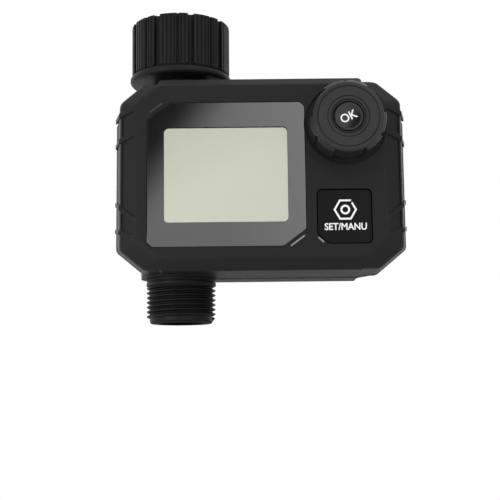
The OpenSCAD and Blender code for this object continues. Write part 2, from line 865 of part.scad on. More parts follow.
// An AA cell standing on its flat end
module cell(x) translate([x, cell_y, 0]) {
    rod_z(cell_d / 2, cell_low, cell_top - 1.2);
    rod_z(2.75, cell_top - 1.2, cell_top);
}

module battery_left() color("goldenrod") cell(cell_left_x);
module battery_right() color("goldenrod")
    translate([0, 0, 2 * cell_mid]) mirror([0, 0, 1]) cell(cell_right_x);

module battery_plates() color("silver") {
    for (x = [cell_left_x, cell_right_x]) for (end = [box_low, box_top - contact_t])
        box(x - plate_s / 2, x + plate_s / 2, cell_y - plate_s / 2, cell_y + plate_s / 2,
            end, end + contact_t);
    // raised pads that meet each cell's cap
    for (spot = [[cell_left_x, 1], [cell_right_x, -1]])
        translate([spot[0], cell_y, cell_mid]) mirror([0, 0, spot[1] < 0 ? 1 : 0])
            rod_z(3, cell_l / 2 + 0.1, cell_l / 2 + contact_gap - contact_t);
}

// A conical spring between a contact plate and a cell's flat end
module battery_springs() color("silver")
    for (spot = [[cell_left_x, -1], [cell_right_x, 1]])
        wire([
            for (i = [0 : 24])
                let (a = i * 30, rise = i / 24)
                [
                    spot[0] + (4 - 2 * rise) * cos(a),
                    cell_y + (4 - 2 * rise) * sin(a),
                    cell_mid + spot[1] * (cell_l / 2 + contact_gap - contact_t - 0.4
                        - rise * (contact_gap - contact_t - 0.8))
                ]
        ], spring_wire_r, 8);

// Leads from the battery box's floor to the board
module battery_leads() for (k = [0, 1])
    color(k == 0 ? "red" : "black") wire([
        [box_in_l + 6 + 3 * k, box_front - box_wall - 0.1, box_top - 8],
        [box_in_l + 6 + 3 * k, box_front - box_wall - 3, box_top - 8],
        [box_in_l + 5 + 3 * k, box_front - box_wall - 5, box_top - 6],
        [box_in_l + 4 + 3 * k, board_back + 3, box_top - 5],
        [box_in_l + 4 + 3 * k, board_back + 0.1, box_top - 5]
    ], lead_r, 8);

// ---- Motor and gears ---------------------------------------------------------

module at_output() translate([0, 0, ball_z]) children();
module at_idler() translate([0, idler_y, idler_z]) children();
module at_pinion() translate([0, pinion_y, pinion_z]) children();

// Teeth meet along the line between two axes: a tooth of one there, a gap of the other
output_phase = -90;
idler_phase = 90 + 180 / idler_teeth;
pinion_phase = pinion_dir + 180 + 180 / pinion_teeth
    + (pinion_dir - idler_phase) * idler_teeth / pinion_teeth;

module motor() color("silver") at_pinion() difference() {
    union() {
        rod_x(motor_r, motor_x, motor_x + motor_l - 2);
        rod_x(motor_r - 0.6, motor_x + motor_l - 2, motor_x + motor_l);
        rod_x(2.4, motor_x - 1.2, motor_x);
    }
    rod_x(motor_shaft_r + run, motor_x - 1.2 - cut, motor_x + motor_l - 4);
}

module motor_shaft() color("silver") at_pinion()
    rod_x(motor_shaft_r, gear_x, motor_x + motor_l - 5);

module motor_pinion() color("goldenrod") at_pinion() difference() {
    plane_x(gear_x, gear_x + gear_w) gear_outline(pinion_teeth, pinion_phase);
    rod_x(motor_shaft_r + fit, gear_x - cut, gear_x + gear_w + cut);
}

module motor_leads() for (k = [0, 1])
    color(k == 0 ? "red" : "black") wire([
        [motor_x + motor_l - 3, pinion_y - motor_r - 0.7, pinion_z - 2 + 4 * k],
        [motor_x + motor_l - 3, pinion_y - motor_r - 3, pinion_z - 2 + 4 * k],
        [motor_x + motor_l - 2, 0, pinion_z - 1 + 4 * k],
        [motor_x + motor_l - 1, -8, pinion_z + 4 * k],
        [motor_x + motor_l - 1, board_back + 2, pinion_z + 4 * k],
        [motor_x + motor_l - 1, board_back + 0.1, pinion_z + 4 * k]
    ], lead_r, 8);

module plate_outline()
    translate([plate_front, plate_low]) square([plate_rear - plate_front, plate_top - plate_low]);

module gearbox_plate() color("whitesmoke") difference() {
    plane_x(boss_x, boss_x + plate_t) plate_outline();
    at_output() rod_x(stem_r + 0.3, boss_x - cut, gear_x);
    at_idler() rod_x(axle_r + fit, boss_x - cut, gear_x);
}

module gearbox_cover() color("whitesmoke") difference() {
    union() {
        plane_x(cover_x, cover_x + cover_t) plate_outline();
        for (p = posts) translate([0, p[0], p[1]]) rod_x(post_r, boss_x + plate_t, cover_x + cut);
    }
    at_output() rod_x(journal_r + run, cover_x - cut, cover_x + cover_t + cut);
    at_idler() rod_x(axle_r + fit, cover_x - cut, cover_x + cover_t + cut);
    at_pinion() rod_x(2.4 + fit, cover_x - cut, cover_x + cover_t + cut);
}

module idler_gear() color("ivory") at_idler() difference() {
    plane_x(gear_x, gear_x + gear_w) gear_outline(idler_teeth, idler_phase);
    rod_x(axle_r + run, gear_x - cut, gear_x + gear_w + cut);
}

module idler_axle() color("silver") at_idler()
    rod_x(axle_r, boss_x + 0.1, cover_x + cover_t - 0.1);

module output_gear() color("ivory") at_output() difference() {
    plane_x(gear_x, gear_x + gear_w) gear_outline(output_teeth, output_phase);
    stem_section(fit, gear_x - cut, gear_x + gear_w + cut);
}

// The stem with its flat, a little larger by a gap
module stem_section(gap, x0, x1) intersection() {
    rod_x(stem_r + gap, x0, x1);
    box(x0, x1, -stem_r - 1, stem_r + 1, -stem_r - 1, 0.75 * stem_r + gap);
}

// ---- Valve -------------------------------------------------------------------

module valve_stem() color("silver") at_output() {
    difference() {
        rod_x(stem_r, chamber_r + 0.1, gear_x);
        difference() {
            rod_x(stem_r + cut, stem_seal_x, stem_seal_x + 1.2);
            rod_x(stem_groove_r, stem_seal_x - cut, stem_seal_x + 1.2 + cut);
        }
    }
    stem_section(0, gear_x, gear_x + gear_w);
    rod_x(journal_r, gear_x + gear_w, cover_x + cover_t - 0.2);
    box(ball_r * 0.75, chamber_r + 0.1, -1.2, 1.2, -2.6, 2.6);
}

module stem_seal() color("black") at_output()
    translate([stem_seal_x + 0.6, 0, 0]) rotate([0, 90, 0])
        rotate_extrude() translate([stem_r - 0.38, 0]) circle(r = 0.38);

module valve_ball() color("silver") at_output() difference() {
    sphere(r = ball_r, $fn = 96);
    rod_y(ball_bore_r, -ball_r - cut, ball_r + cut);
    box(ball_r * 0.72, ball_r + cut, -1.25, 1.25, -ball_r, ball_r);
}

// A seat ring hollowed to the ball, for the upper side
module seat() difference() {
    ring_z(plug_r, seat_in_r, seat_reach - seat_t, seat_reach);
    sphere(r = ball_r + fit, $fn = 96);
}

module upper_seat() color("white") at_output() seat();
module lower_seat() color("white") at_output() mirror([0, 0, 1]) seat();

module valve_body() color("dimgray") difference() {
    union() {
        rod_z(neck_r, shoulder_z, neck_top);
        rod_z(collar_r, shoulder_z - 2, case_t + 0.4);
        rod_z(collar_flange_r, shoulder_z - 1.6, shoulder_z);
        rod_z(valve_r, valve_low, shoulder_z - 1.6);
        at_output() rod_x(boss_r, 0, boss_x);
    }
    rod_z(neck_bore_r, seat_top - cut, neck_top + cut);
    rod_z(chamber_r, valve_low - cut, seat_top);
    at_output() rod_x(stem_r + run, 0, boss_x + cut);
    // groove for the nut's clip
    ring_z(neck_r + cut, neck_r - 0.8, nut_lip_z + clip_gap, nut_lip_z + clip_gap + clip_t);
}

module valve_outlet() color("dimgray") difference() {
    union() {
        rod_z(plug_r, valve_low, seat_low);
        rod_z(valve_r, case_b - fit, valve_low);
        rod_z(outlet_collar_r, outlet_collar_z, case_b - fit);
        rod_z(thread_root_r, outlet_z, outlet_collar_z);
        outlet_thread();
    }
    rod_z(plug_bore_r, case_b, seat_low + cut);
    rod_z(outlet_bore_r, outlet_z - cut, case_b + cut);
    ring_z(plug_r + cut, plug_r - 1, seal_z, seal_z + 1.6);
}

// Thread ridges, drawn as rings
module outlet_thread()
    for (z = [outlet_z + thread_lead : thread_pitch : outlet_collar_z - thread_pitch])
        rotate_extrude() polygon([
            [thread_root_r - 0.5, z], [thread_root_r, z],
            [thread_r, z + thread_pitch / 2 - crest_w / 2],
            [thread_r, z + thread_pitch / 2 + crest_w / 2],
            [thread_root_r, z + thread_pitch], [thread_root_r - 0.5, z + thread_pitch]
        ]);

module outlet_seal() color("black")
    translate([0, 0, seal_z + 0.8])
        rotate_extrude() translate([plug_r - 0.48, 0]) circle(r = 0.48);

// ---- Inlet -------------------------------------------------------------------

module inlet_nut() color("dimgray") difference() {
    union() {
        rod_z(nut_r, -nut_h + nut_flange_t - cut, 0);
        rod_z(nut_flange_r, -nut_h, -nut_h + nut_flange_t);
    }
    rod_z(thread_root_r, -nut_thread_l, cut);
    rod_z(nut_relief_r, nut_lip_z, -nut_thread_l);
    rod_z(neck_r + 0.2, -nut_h - cut, nut_lip_z + cut);
    for (k = [0 : nut_lobes - 1]) rotate((k + 0.5) * 360 / nut_lobes)
        translate([nut_r + 0.2, 0, 0]) rod_z(nut_groove_r, -nut_h + nut_flange_t + 0.5, cut);
}

module nut_clip() color("silver") difference() {
    ring_z(neck_r + 1.1, neck_r - 0.8 + fit, nut_lip_z + clip_gap + fit,
        nut_lip_z + clip_gap + clip_t - fit);
    box(-2.5, 2.5, 0, 20, -nut_h, 0);
}

module sealing_washer() color("lightyellow") {
    ring_z(washer_r, washer_in_r, neck_top, neck_top + washer_t);
    ring_z(washer_r, washer_rim_r, neck_top + washer_t, neck_top + washer_t + washer_rim_t);
}

module filter_ring() color("gold") {
    ring_z(filter_r, filter_in_r, neck_top + washer_t, neck_top + washer_t + filter_t);
    ring_z(filter_skirt_r, filter_skirt_r - filter_skirt_t, filter_low, neck_top + washer_t);
}

module filter_mesh() color("silver")
    rod_z(filter_skirt_r - filter_skirt_t - fit, filter_low + 0.2, filter_low + 0.5);

front_shell();
rear_shell();
case_gasket();
case_screws();
display_window();
trim_bars();
lcd_panel();
lcd_frame();
lcd_connector();
circuit_board();
board_screws();
board_chips();
set_key();
key_boot();
set_switch();
knob();
knob_face();
ok_cap();
encoder_body();
encoder_shaft();
knob_seal();
ok_switch();
battery_door();
door_pin();
battery_seal();
battery_left();
battery_right();
battery_springs();
battery_plates();
battery_leads();
motor();
motor_shaft();
motor_pinion();
motor_leads();
gearbox_plate();
gearbox_cover();
idler_gear();
idler_axle();
output_gear();
valve_stem();
stem_seal();
valve_ball();
upper_seat();
lower_seat();
valve_body();
valve_outlet();
outlet_seal();
inlet_nut();
nut_clip();
sealing_washer();
filter_ring();
filter_mesh();
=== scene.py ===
from math import atan, cos, hypot, pi, radians, sin, sqrt

import bmesh
import bpy
from mathutils import Matrix, Vector


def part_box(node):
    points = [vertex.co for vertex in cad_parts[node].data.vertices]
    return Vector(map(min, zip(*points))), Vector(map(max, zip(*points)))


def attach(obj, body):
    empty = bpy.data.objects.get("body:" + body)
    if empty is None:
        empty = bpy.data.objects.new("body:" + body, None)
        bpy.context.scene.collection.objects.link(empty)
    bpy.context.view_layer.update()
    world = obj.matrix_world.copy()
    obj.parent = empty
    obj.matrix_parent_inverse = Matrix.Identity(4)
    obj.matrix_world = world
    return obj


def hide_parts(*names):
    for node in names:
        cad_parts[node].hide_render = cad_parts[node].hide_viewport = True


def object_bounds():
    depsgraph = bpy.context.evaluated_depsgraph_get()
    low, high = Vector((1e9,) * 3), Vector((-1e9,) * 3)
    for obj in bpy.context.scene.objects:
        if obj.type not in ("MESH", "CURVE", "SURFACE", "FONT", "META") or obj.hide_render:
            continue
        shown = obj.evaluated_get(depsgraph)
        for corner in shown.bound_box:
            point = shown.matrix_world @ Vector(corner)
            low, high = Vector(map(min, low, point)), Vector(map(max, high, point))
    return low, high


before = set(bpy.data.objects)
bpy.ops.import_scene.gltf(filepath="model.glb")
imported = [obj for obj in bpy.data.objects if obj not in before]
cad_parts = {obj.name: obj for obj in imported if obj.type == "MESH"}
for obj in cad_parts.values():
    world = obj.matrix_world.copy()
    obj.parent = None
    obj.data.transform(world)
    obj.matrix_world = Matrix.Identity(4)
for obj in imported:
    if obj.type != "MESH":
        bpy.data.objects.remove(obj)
CAD_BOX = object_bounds()

bl_info = {
    "name": "Drip irrigation timer",
    "version": (1, 0, 0),
    "blender": (4, 5, 0),
    "location": "3D View > Sidebar > Timer",
    "description": "Builds the visible pieces and finishes of a tap-mounted watering timer",
    "category": "Add Mesh",
}

MM = 0.001
TURN = 2 * pi


def span(*nodes):
    """Lowest and highest corner of some CAD nodes together, in millimetres."""
    boxes = [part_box(node) for node in nodes]
    lo = Vector([min(box[0][i] for box in boxes) for i in range(3)]) / MM
    hi = Vector([max(box[1][i] for box in boxes) for i in range(3)]) / MM
    return lo, hi


# ---- Places taken from the frame, and shared sizes, in millimetres -------------

REAR_LO, REAR_HI = span("rear_shell")
FRONT_LO, FRONT_HI = span("front_shell")
WINDOW_LO, WINDOW_HI = span("display_window")
LCD_LO, LCD_HI = span("lcd_panel")
KEY_LO, KEY_HI = span("set_key")
CAP_LO, CAP_HI = span("ok_cap")
KNOB_LO, KNOB_HI = span("knob")
NUT_LO, NUT_HI = span("inlet_nut")
OUTLET_LO, OUTLET_HI = span("valve_outlet")
DOOR_LO, DOOR_HI = span("battery_door")
SEAL_LO, SEAL_HI = span("battery_seal")
PIN_LO, PIN_HI = span("door_pin")
SCREW_LO, SCREW_HI = span("case_screws")
MESH_LO, MESH_HI = span("filter_mesh")

FLARE = 4.0         # how far each side stands out at the seam
CASE_L = REAR_LO.x + FLARE
CASE_R = REAR_HI.x - FLARE
CASE_T = FRONT_HI.z
CASE_B = FRONT_LO.z
CASE_W = CASE_R - CASE_L
CASE_H = CASE_T - CASE_B
MID_X = (CASE_L + CASE_R) / 2
MID_Z = (CASE_T + CASE_B) / 2
FRONT_Y = FRONT_LO.y + 0.15
BACK_Y = SEAL_HI.y - 0.2
KNOB_X = (CAP_LO.x + CAP_HI.x) / 2
KNOB_Z = (CAP_LO.z + CAP_HI.z) / 2
KNOB_SPOT = (KNOB_X, KNOB_Z)
KNOB_Y = KNOB_LO.y
KEY_DROP = 0.4
KEY_X = (KEY_LO.x + KEY_HI.x) / 2
KEY_Z = (KEY_LO.z + KEY_HI.z) / 2 - KEY_DROP
LCD_X = (LCD_LO.x + LCD_HI.x) / 2
LCD_Z = (LCD_LO.z + LCD_HI.z) / 2
HINGE_X = (PIN_LO.x + PIN_HI.x) / 2
PIN_Y = (PIN_LO.y + PIN_HI.y) / 2
PIN_Z = (PIN_LO.z + PIN_HI.z) / 2
PIN_SPOT = (PIN_Y, PIN_Z)
BAY_L, BAY_R = SEAL_LO.x + 1.2, SEAL_HI.x - 1.2
BAY_B, BAY_T = SEAL_LO.z + 1.2, SEAL_HI.z - 1.2

WALL = 2.4
FIT = 0.05
NEAR = 1e-3         # closer than this is the same place
PAST = 3.0          # how far each half's solid runs past the seam before it is cut there
SEAM = 0.12         # gap left for the seam in front
WIDE_X, WIDE_Z = (-60, 120), (-140, 0)      # limits well outside the case, for cutters
CORNER = (12.0, 10.0)
FRONT_CORNER = 0.75
BOSS_R = 15.2
FRONT_POST_R, PILOT_R = 2.9, 1.5
POST_R, POST_HOLE_R, HEAD_WELL_R = 3.8, 1.7, 2.9
MOAT_R, MOAT_D = 15.0, 0.8
SHAFT_HOLE_R = 4.5
WELL_R = 5.55
WINDOW_CUT = (8.3, 6.2)
KEY_SIDE, KEY_OPENING, KEY_FLANGE = 20.05, 20.22, 22.2
KEY_CORNER = 0.8    # must stay below the small corner cuts
HINGE_R, HINGE_HALF = 1.8, 6.0
THREAD_R = 13.22
THREAD_ROOT_R = 12.06
THREAD_PITCH = 1.814
INK = 0.05          # thickness of a printed word


# ---- Sizes and colours that a user may change ---------------------------------

def length(name, text, default, low, high):
    """A length property, from millimetres."""
    return bpy.props.FloatProperty(
        name=name, description=text, default=default * MM, min=low * MM, max=high * MM,
        precision=5, subtype="DISTANCE", unit="LENGTH"
    )


def tint(name, text, default):
    """A linear colour, as a property."""
    return bpy.props.FloatVectorProperty(
        name=name, description=text, default=default, subtype="COLOR", size=3, min=0, max=1
    )


class TimerCaseSizes(bpy.types.PropertyGroup):
    """Sizes of the two case halves."""

    bevel_w: length("Bevel width", "Width of the front bevel along the sides", 5.6, 3, 7)
    bevel_h: length("Bevel height", "Height of the front bevel, top and bottom", 2.6, 1.5, 4)
    bevel_d: length("Bevel depth", "Depth of the front bevel", 3.5, 2, 4)
    edge_r: length("Edge radius", "Rounding of the case's long edges", 1.2, 0.3, 2)
    band_step: length("Band step", "Height of the middle band above the corners", 0.9, 0.4, 1.5)
    panel_d: length("Panel depth", "Depth of the side panels between the ribs", 0.55, 0.3, 1.6)
    rib_t: length("Rib width", "Width of the side ribs", 1.7, 1, 3)
    lift: length("Bevel lift", "How far the front face sits above the middle", 0.95, 0, 1.2)
    bead: length("Seam bead", "How far the bead stands out at the seam", 0.18, 0.1, 0.5)


class TimerKnobSizes(bpy.types.PropertyGroup):
    """Sizes of the knob."""

    face_r: length("Face radius", "Radius of the knob's front face", 12.8, 11, 13)
    grip_r: length("Grip radius", "Radius over the knob's lobes", 13.85, 13, 14)
    groove_d: length("Groove depth", "Depth of the rings turned in the face", 0.35, 0.1, 0.6)
    cap_r: length("Cap radius", "Radius of the push cap", 5.25, 4, 5.3)


class TimerPipeSizes(bpy.types.PropertyGroup):
    """Sizes of the nut and the outlet."""

    nut_r: length("Nut radius", "Radius over the nut's lobes", 19.25, 18, 20)
    groove: length("Groove depth", "Depth of the grooves between the lobes", 2.15, 0.5, 2.4)
    flute: length("Flute depth", "Depth of the fine flutes on each lobe", 0.42, 0.1, 0.9)
    lobes: bpy.props.IntProperty(
        name="Lobes", description="Number of lobes round the nut", default=9, min=6, max=16
    )
    thread_depth: length("Thread depth", "Depth of the pipe thread", 1.16, 0.6, 1.2)


class Sizes:
    """Reads a group's lengths in millimetres."""

    def __init__(self, group):
        self.group = getattr(bpy.context.scene, group)

    def __getattr__(self, name):
        value = getattr(self.group, name)
        return value if isinstance(value, int) else round(value / MM, 4)


class TimerColours(bpy.types.PropertyGroup):
    """Colours of the visible finishes."""

    case: tint("Case", "Fine-textured plastic of the case", (0.0075, 0.0075, 0.0078))
    knob: tint("Knob", "Satin plastic of the knob", (0.022, 0.022, 0.0225))
    pipe: tint("Pipe fittings", "Plastic of the nut and the outlet", (0.007, 0.007, 0.0072))
    key: tint("Key", "Smooth plastic of the key", (0.0025, 0.0025, 0.0028))
    glass: tint("Window", "Glossy border of the window", (0.004, 0.004, 0.0045))
    lcd: tint("Display", "Unlit liquid crystal display", (0.552, 0.568, 0.480))
    legend: tint("Legends", "Printed words and signs", (0.84, 0.84, 0.84))


# ---- Shader maths -------------------------------------------------------------

class Wire:
    """An output socket that takes part in sums; each sum adds a Math node."""

    def __init__(self, finish, socket):
        self.finish = finish
        self.socket = socket

    def maths(self, operation, *terms, clamp=False):
        node = self.finish.add(
            "ShaderNodeMath", {"operation": operation, "use_clamp": clamp}, dict(enumerate(terms))
        )
        return node[0]

    def __add__(self, other):
        return self.maths("ADD", self, other)

    def __radd__(self, other):
        return self.maths("ADD", other, self)

    def __sub__(self, other):
        return self.maths("SUBTRACT", self, other)

    def __rsub__(self, other):
        return self.maths("SUBTRACT", other, self)

    def __mul__(self, other):
        return self.maths("MULTIPLY", self, other)

    def __rmul__(self, other):
        return self.maths("MULTIPLY", other, self)

    def __truediv__(self, other):
        return self.maths("DIVIDE", self, other)

    def __rtruediv__(self, other):
        return self.maths("DIVIDE", other, self)

    def __neg__(self):
        return self.maths("MULTIPLY", self, -1)

    def __abs__(self):
        return self.maths("ABSOLUTE", self)

    def clip(self):
        return self.maths("ADD", self, 0, clamp=True)

    def bigger(self, other):
        return self.maths("MAXIMUM", self, other)

    def smaller(self, other):
        return self.maths("MINIMUM", self, other)

    def root(self):
        return self.maths("SQRT", self)

    def fract(self):
        return self.maths("FRACT", self)

    def step(self, low, high):
        """0 below low, 1 above high, and smooth between them."""
        node = self.finish.add(
            "ShaderNodeMapRange", {"interpolation_type": "SMOOTHSTEP"},
            {"Value": self, "From Min": low, "From Max": high}
        )
        return node["Result"]


class Made:
    """A node just added, whose outputs are taken by name or number."""

    def __init__(self, finish, node):
        self.finish = finish
        self.node = node

    def __getitem__(self, key):
        return Wire(self.finish, self.node.outputs[key])


class Finish:
    """A node tree being built, with one method that adds any node."""

    def __init__(self, tree):
        self.tree = tree
        tree.nodes.clear()

    def add(self, kind, settings=None, inputs=None):
        node = self.tree.nodes.new(kind)
        for key, value in (settings or {}).items():
            setattr(node, key, value)
        for key, value in (inputs or {}).items():
            if isinstance(value, Wire):
                self.tree.links.new(value.socket, node.inputs[key])
            else:
                node.inputs[key].default_value = value
        return Made(self, node)

    def place(self):
        return self.add("ShaderNodeTexCoord")["Object"]

    def axes(self):
        """The object coordinates x, y and z, in millimetres."""
        scaled = self.add(
            "ShaderNodeVectorMath", {"operation": "SCALE"}, {0: self.place(), "Scale": 1 / MM}
        )[0]
        apart = self.add("ShaderNodeSeparateXYZ", inputs={0: scaled})
        return apart["X"], apart["Y"], apart["Z"]

    def noise(self, size_mm, detail=3.0, rough=0.55, stretch=(1, 1, 1)):
        """Soft noise with grains of about that size; stretch lengthens them along an axis."""
        where = self.add(
            "ShaderNodeMapping", {"vector_type": "TEXTURE"},
            {"Vector": self.place(), "Scale": stretch}
        )["Vector"]
        return self.add(
            "ShaderNodeTexNoise", {"noise_dimensions": "3D"},
            {"Vector": where, "Scale": 1 / (size_mm * MM), "Detail": detail, "Roughness": rough}
        )["Fac"]

    def blend(self, factor, first, second):
        """A colour between two colours."""
        first, second = (
            colour if isinstance(colour, Wire) else (*colour[:3], 1) for colour in (first, second)
        )
        inputs = {0: factor, 6: first, 7: second}
        return self.add("ShaderNodeMix", {"data_type": "RGBA"}, inputs)[2]

    def rounded(self, radius_mm):
        """The normal with sharp edges softened."""
        return self.add("ShaderNodeBevel", {"samples": 6}, {"Radius": radius_mm * MM})["Normal"]

    def edges(self, softened):
        """1 along sharp edges and 0 on flat faces."""
        true = self.add("ShaderNodeNewGeometry")["True Normal"]
        dot = self.add("ShaderNodeVectorMath", {"operation": "DOT_PRODUCT"}, {0: softened, 1: true})
        return (1 - dot["Value"]).step(0.02, 0.25)

    def bump(self, height, depth_mm, strength, under=None):
        inputs = {"Height": height, "Distance": depth_mm * MM, "Strength": strength}
        if under is not None:
            inputs["Normal"] = under
        return self.add("ShaderNodeBump", inputs=inputs)["Normal"]

    def surface(self, **inputs):
        """A Principled shader on the output; names use _ for spaces."""
        named = {key.replace("_", " "): value for key, value in inputs.items()}
        shader = self.add("ShaderNodeBsdfPrincipled", inputs=named)
        self.add("ShaderNodeOutputMaterial", inputs={"Surface": shader[0]})
        return shader


FINISHES = {}


def material(name):
    """Keeps one material per name and builds it the first time it is asked for."""
    def keep(build):
        def get(*args):
            key = name if not args else name + "_" + "_".join(str(a) for a in args)
            if key not in FINISHES:
                made = bpy.data.materials.new(key)
                made.use_nodes = True
                build(Finish(made.node_tree), *args)
                FINISHES[key] = made
            return FINISHES[key]
        return get
    return keep


def plus(colour, amount):
    """A colour made lighter or darker."""
    return tuple(min(1.0, c * amount) for c in colour)


def colours():
    """The colours that the user sets."""
    return bpy.context.scene.timer_colours


def moulded(f, colour, rough, grain_mm, grain_depth, edge_mm, specular=0.5, patch=0.05):
    """Moulded plastic: fine spark texture, soft uneven sheen, and edges lightened in patches,
    partly as wear and partly as a painted edge highlight.
    """
    if isinstance(colour, str):
        colour = getattr(colours(), colour)
    soft = f.rounded(edge_mm)
    wear_and_edge_highlight = f.edges(soft) * f.noise(2.2, 4).step(0.35, 0.7)
    cloud = f.noise(14, 3)
    tone = f.blend(cloud, plus(colour, 0.86), plus(colour, 1.16))
    # wear together with a painted edge highlight: the base colour rises to 2.6 times along the
    # edges, in patches
    tone = f.blend(wear_and_edge_highlight * 0.55, tone, plus(colour, 2.6))
    grain = f.noise(grain_mm, 4, 0.62)
    sheen = rough + (cloud - 0.5) * patch - wear_and_edge_highlight * 0.08 + (f.noise(0.9, 2) - 0.5) * 0.05
    f.surface(
        Base_Color=tone, Roughness=sheen.clip(), Specular_IOR_Level=specular,
        Normal=f.bump(grain, grain_depth, 0.55, soft)
    )


def plain(name, build, *tones, **settings):
    """A material of one of the shared kinds, from its colours and settings."""
    return material(name)(lambda f: build(f, *tones, **settings))


# The first four take their colours from those that the user sets
case_plastic = plain(
    "case_plastic", moulded, "case", rough=0.52, grain_mm=0.32, grain_depth=0.05, edge_mm=0.28,
    specular=0.23
)
knob_plastic = plain(
    "knob_plastic", moulded, "knob", rough=0.34, grain_mm=0.22, grain_depth=0.012, edge_mm=0.16,
    specular=0.25
)
pipe_plastic = plain(
    "pipe_plastic", moulded, "pipe", rough=0.46, grain_mm=0.5, grain_depth=0.03, edge_mm=0.2,
    specular=0.19
)
key_plastic = plain(
    "key_plastic", moulded, "key", rough=0.36, grain_mm=0.18, grain_depth=0.012, edge_mm=0.2,
    specular=0.14
)
chip_black = plain(
    "chip_black", moulded, (0.016, 0.016, 0.017), rough=0.5, grain_mm=0.12, grain_depth=0.015,
    edge_mm=0.1
)


@material("seam_rubber")
def seam_rubber(f):
    """Grey rubbery bead, dustier in places."""
    dust = f.noise(4, 4)
    f.surface(
        Base_Color=f.blend(dust, (0.055, 0.055, 0.055), (0.095, 0.095, 0.094)),
        Roughness=0.6 + dust * 0.12, Specular_IOR_Level=0.3,
        Normal=f.bump(f.noise(0.3, 2), 0.02, 0.3)
    )


@material("window_glass")
def window_glass(f, *corners):
    """Glossy black border that is clear over the display."""
    left, right, low, high = (float(c) for c in corners)
    x, _, z = f.axes()
    across = abs(x - (left + right) / 2) - (right - left) / 2
    up = abs(z - (low + high) / 2) - (high - low) / 2
    radius = 1.8
    out_x = (across + radius).bigger(0)
    out_z = (up + radius).bigger(0)
    gap = (out_x * out_x + out_z * out_z).root() - radius
    border = gap.step(-0.06, 0.06)
    smear = f.noise(9, 4)
    outer = 1 - f.add("ShaderNodeNewGeometry")["Backfacing"]
    f.surface(
        Base_Color=f.blend(smear, plus(colours().glass, 0.8), plus(colours().glass, 1.3)),
        Roughness=(0.035 + smear * 0.03), IOR=2.05, Alpha=(border * 0.96 + 0.04) * outer,
        Normal=f.bump(f.noise(22, 1), 0.02, 0.25)
    )


@material("display_film")
def display_film(f):
    """Liquid crystal film: pale grey-green, with painted shade that darkens it a little to the
    upper left.
    """
    x, _, z = f.axes()
    base = colours().lcd
    # painted shade: the film's colour darkens towards the upper left
    shade = ((z - LCD_Z) / 40 - (x - LCD_X) / 60 + 0.5).step(0.35, 1.25)
    fine = f.noise(0.35, 2)
    tone = f.blend(shade, base, plus(base, 0.86))
    tone = f.blend(fine * 0.12, tone, plus(base, 0.93))
    cell = abs((x * 2.2).fract() - 0.5) * 0.02
    f.surface(
        Base_Color=f.blend(cell, tone, plus(base, 0.8)), Roughness=0.42 + fine * 0.06,
        Specular_IOR_Level=0.25, Coat_Weight=0.05, Coat_Roughness=0.1,
        Normal=f.bump(fine, 0.004, 0.2)
    )


@material("cap_gloss")
def cap_gloss(f):
    """Polished black push cap with the faint swirl of handling."""
    soft = f.rounded(0.2)
    smear = f.noise(1.6, 5, 0.6)
    f.surface(
        Base_Color=f.blend(smear, (0.006, 0.006, 0.007), (0.012, 0.012, 0.013)),
        Roughness=0.14 + smear * 0.06, IOR=1.42,
        Normal=f.bump(f.noise(0.5, 2), 0.004, 0.2, soft)
    )


@material("legend_paint")
def legend_paint(f):
    """Pad-printed white ink, a little thin in places."""
    thin = f.noise(0.25, 3)
    white = colours().legend
    f.surface(
        Base_Color=f.blend(thin, plus(white, 0.94), plus(white, 1.06)),
        Roughness=0.45 + thin * 0.1, Specular_IOR_Level=0.3, Normal=f.bump(thin, 0.01, 0.3)
    )


def metal(f, colour, rough, size_mm, stretch=(1, 1, 1), depth=0.01):
    """Metal with drawn or cast marks and duller patches."""
    marks = f.noise(size_mm, 4, 0.6, stretch)
    dull = f.noise(6, 3)
    soft = f.rounded(0.12)
    f.surface(
        Base_Color=f.blend(dull, plus(colour, 0.82), plus(colour, 1.08)), Metallic=1.0,
        Roughness=(rough + marks * 0.12 + dull * 0.08).clip(),
        Normal=f.bump(marks, depth, 0.4, soft)
    )


silver_trim = plain(
    "silver_trim", metal, (0.27, 0.274, 0.285), rough=0.28, size_mm=0.12, stretch=(6, 1, 1)
)
# a darker copy of the silver trim: painted shade standing in for the dark reflection at the
# window's upper left
smoked_trim = plain(
    "smoked_trim", metal, (0.085, 0.086, 0.09), rough=0.3, size_mm=0.12, stretch=(6, 1, 1)
)
steel = plain("steel", metal, (0.52, 0.52, 0.53), rough=0.3, size_mm=0.3, stretch=(1, 4, 1))
brass = plain("brass", metal, (0.72, 0.52, 0.22), rough=0.3, size_mm=0.35)
chrome_ball = plain("chrome_ball", metal, (0.66, 0.66, 0.68), rough=0.1, size_mm=1.2, depth=0.003)


@material("rubber_black")
def rubber_black(f):
    """Soft rubber with a dusty bloom."""
    bloom = f.noise(3.5, 5, 0.6)
    grain = f.noise(0.25, 3)
    f.surface(
        Base_Color=f.blend(bloom, (0.012, 0.012, 0.012), (0.034, 0.034, 0.033)),
        Roughness=0.68 + bloom * 0.16, Specular_IOR_Level=0.3, Normal=f.bump(grain, 0.03, 0.4)
    )


def smooth_resin(f, low, high, rough, depth=0.01):
    """Natural resin or silicone: cloudy tone and a waxy skin."""
    cloud = f.noise(5, 4)
    skin = f.noise(0.6, 3)
    f.surface(
        Base_Color=f.blend(cloud, low, high), Roughness=rough + skin * 0.1,
        Normal=f.bump(skin, depth, 0.4, f.rounded(0.15))
    )


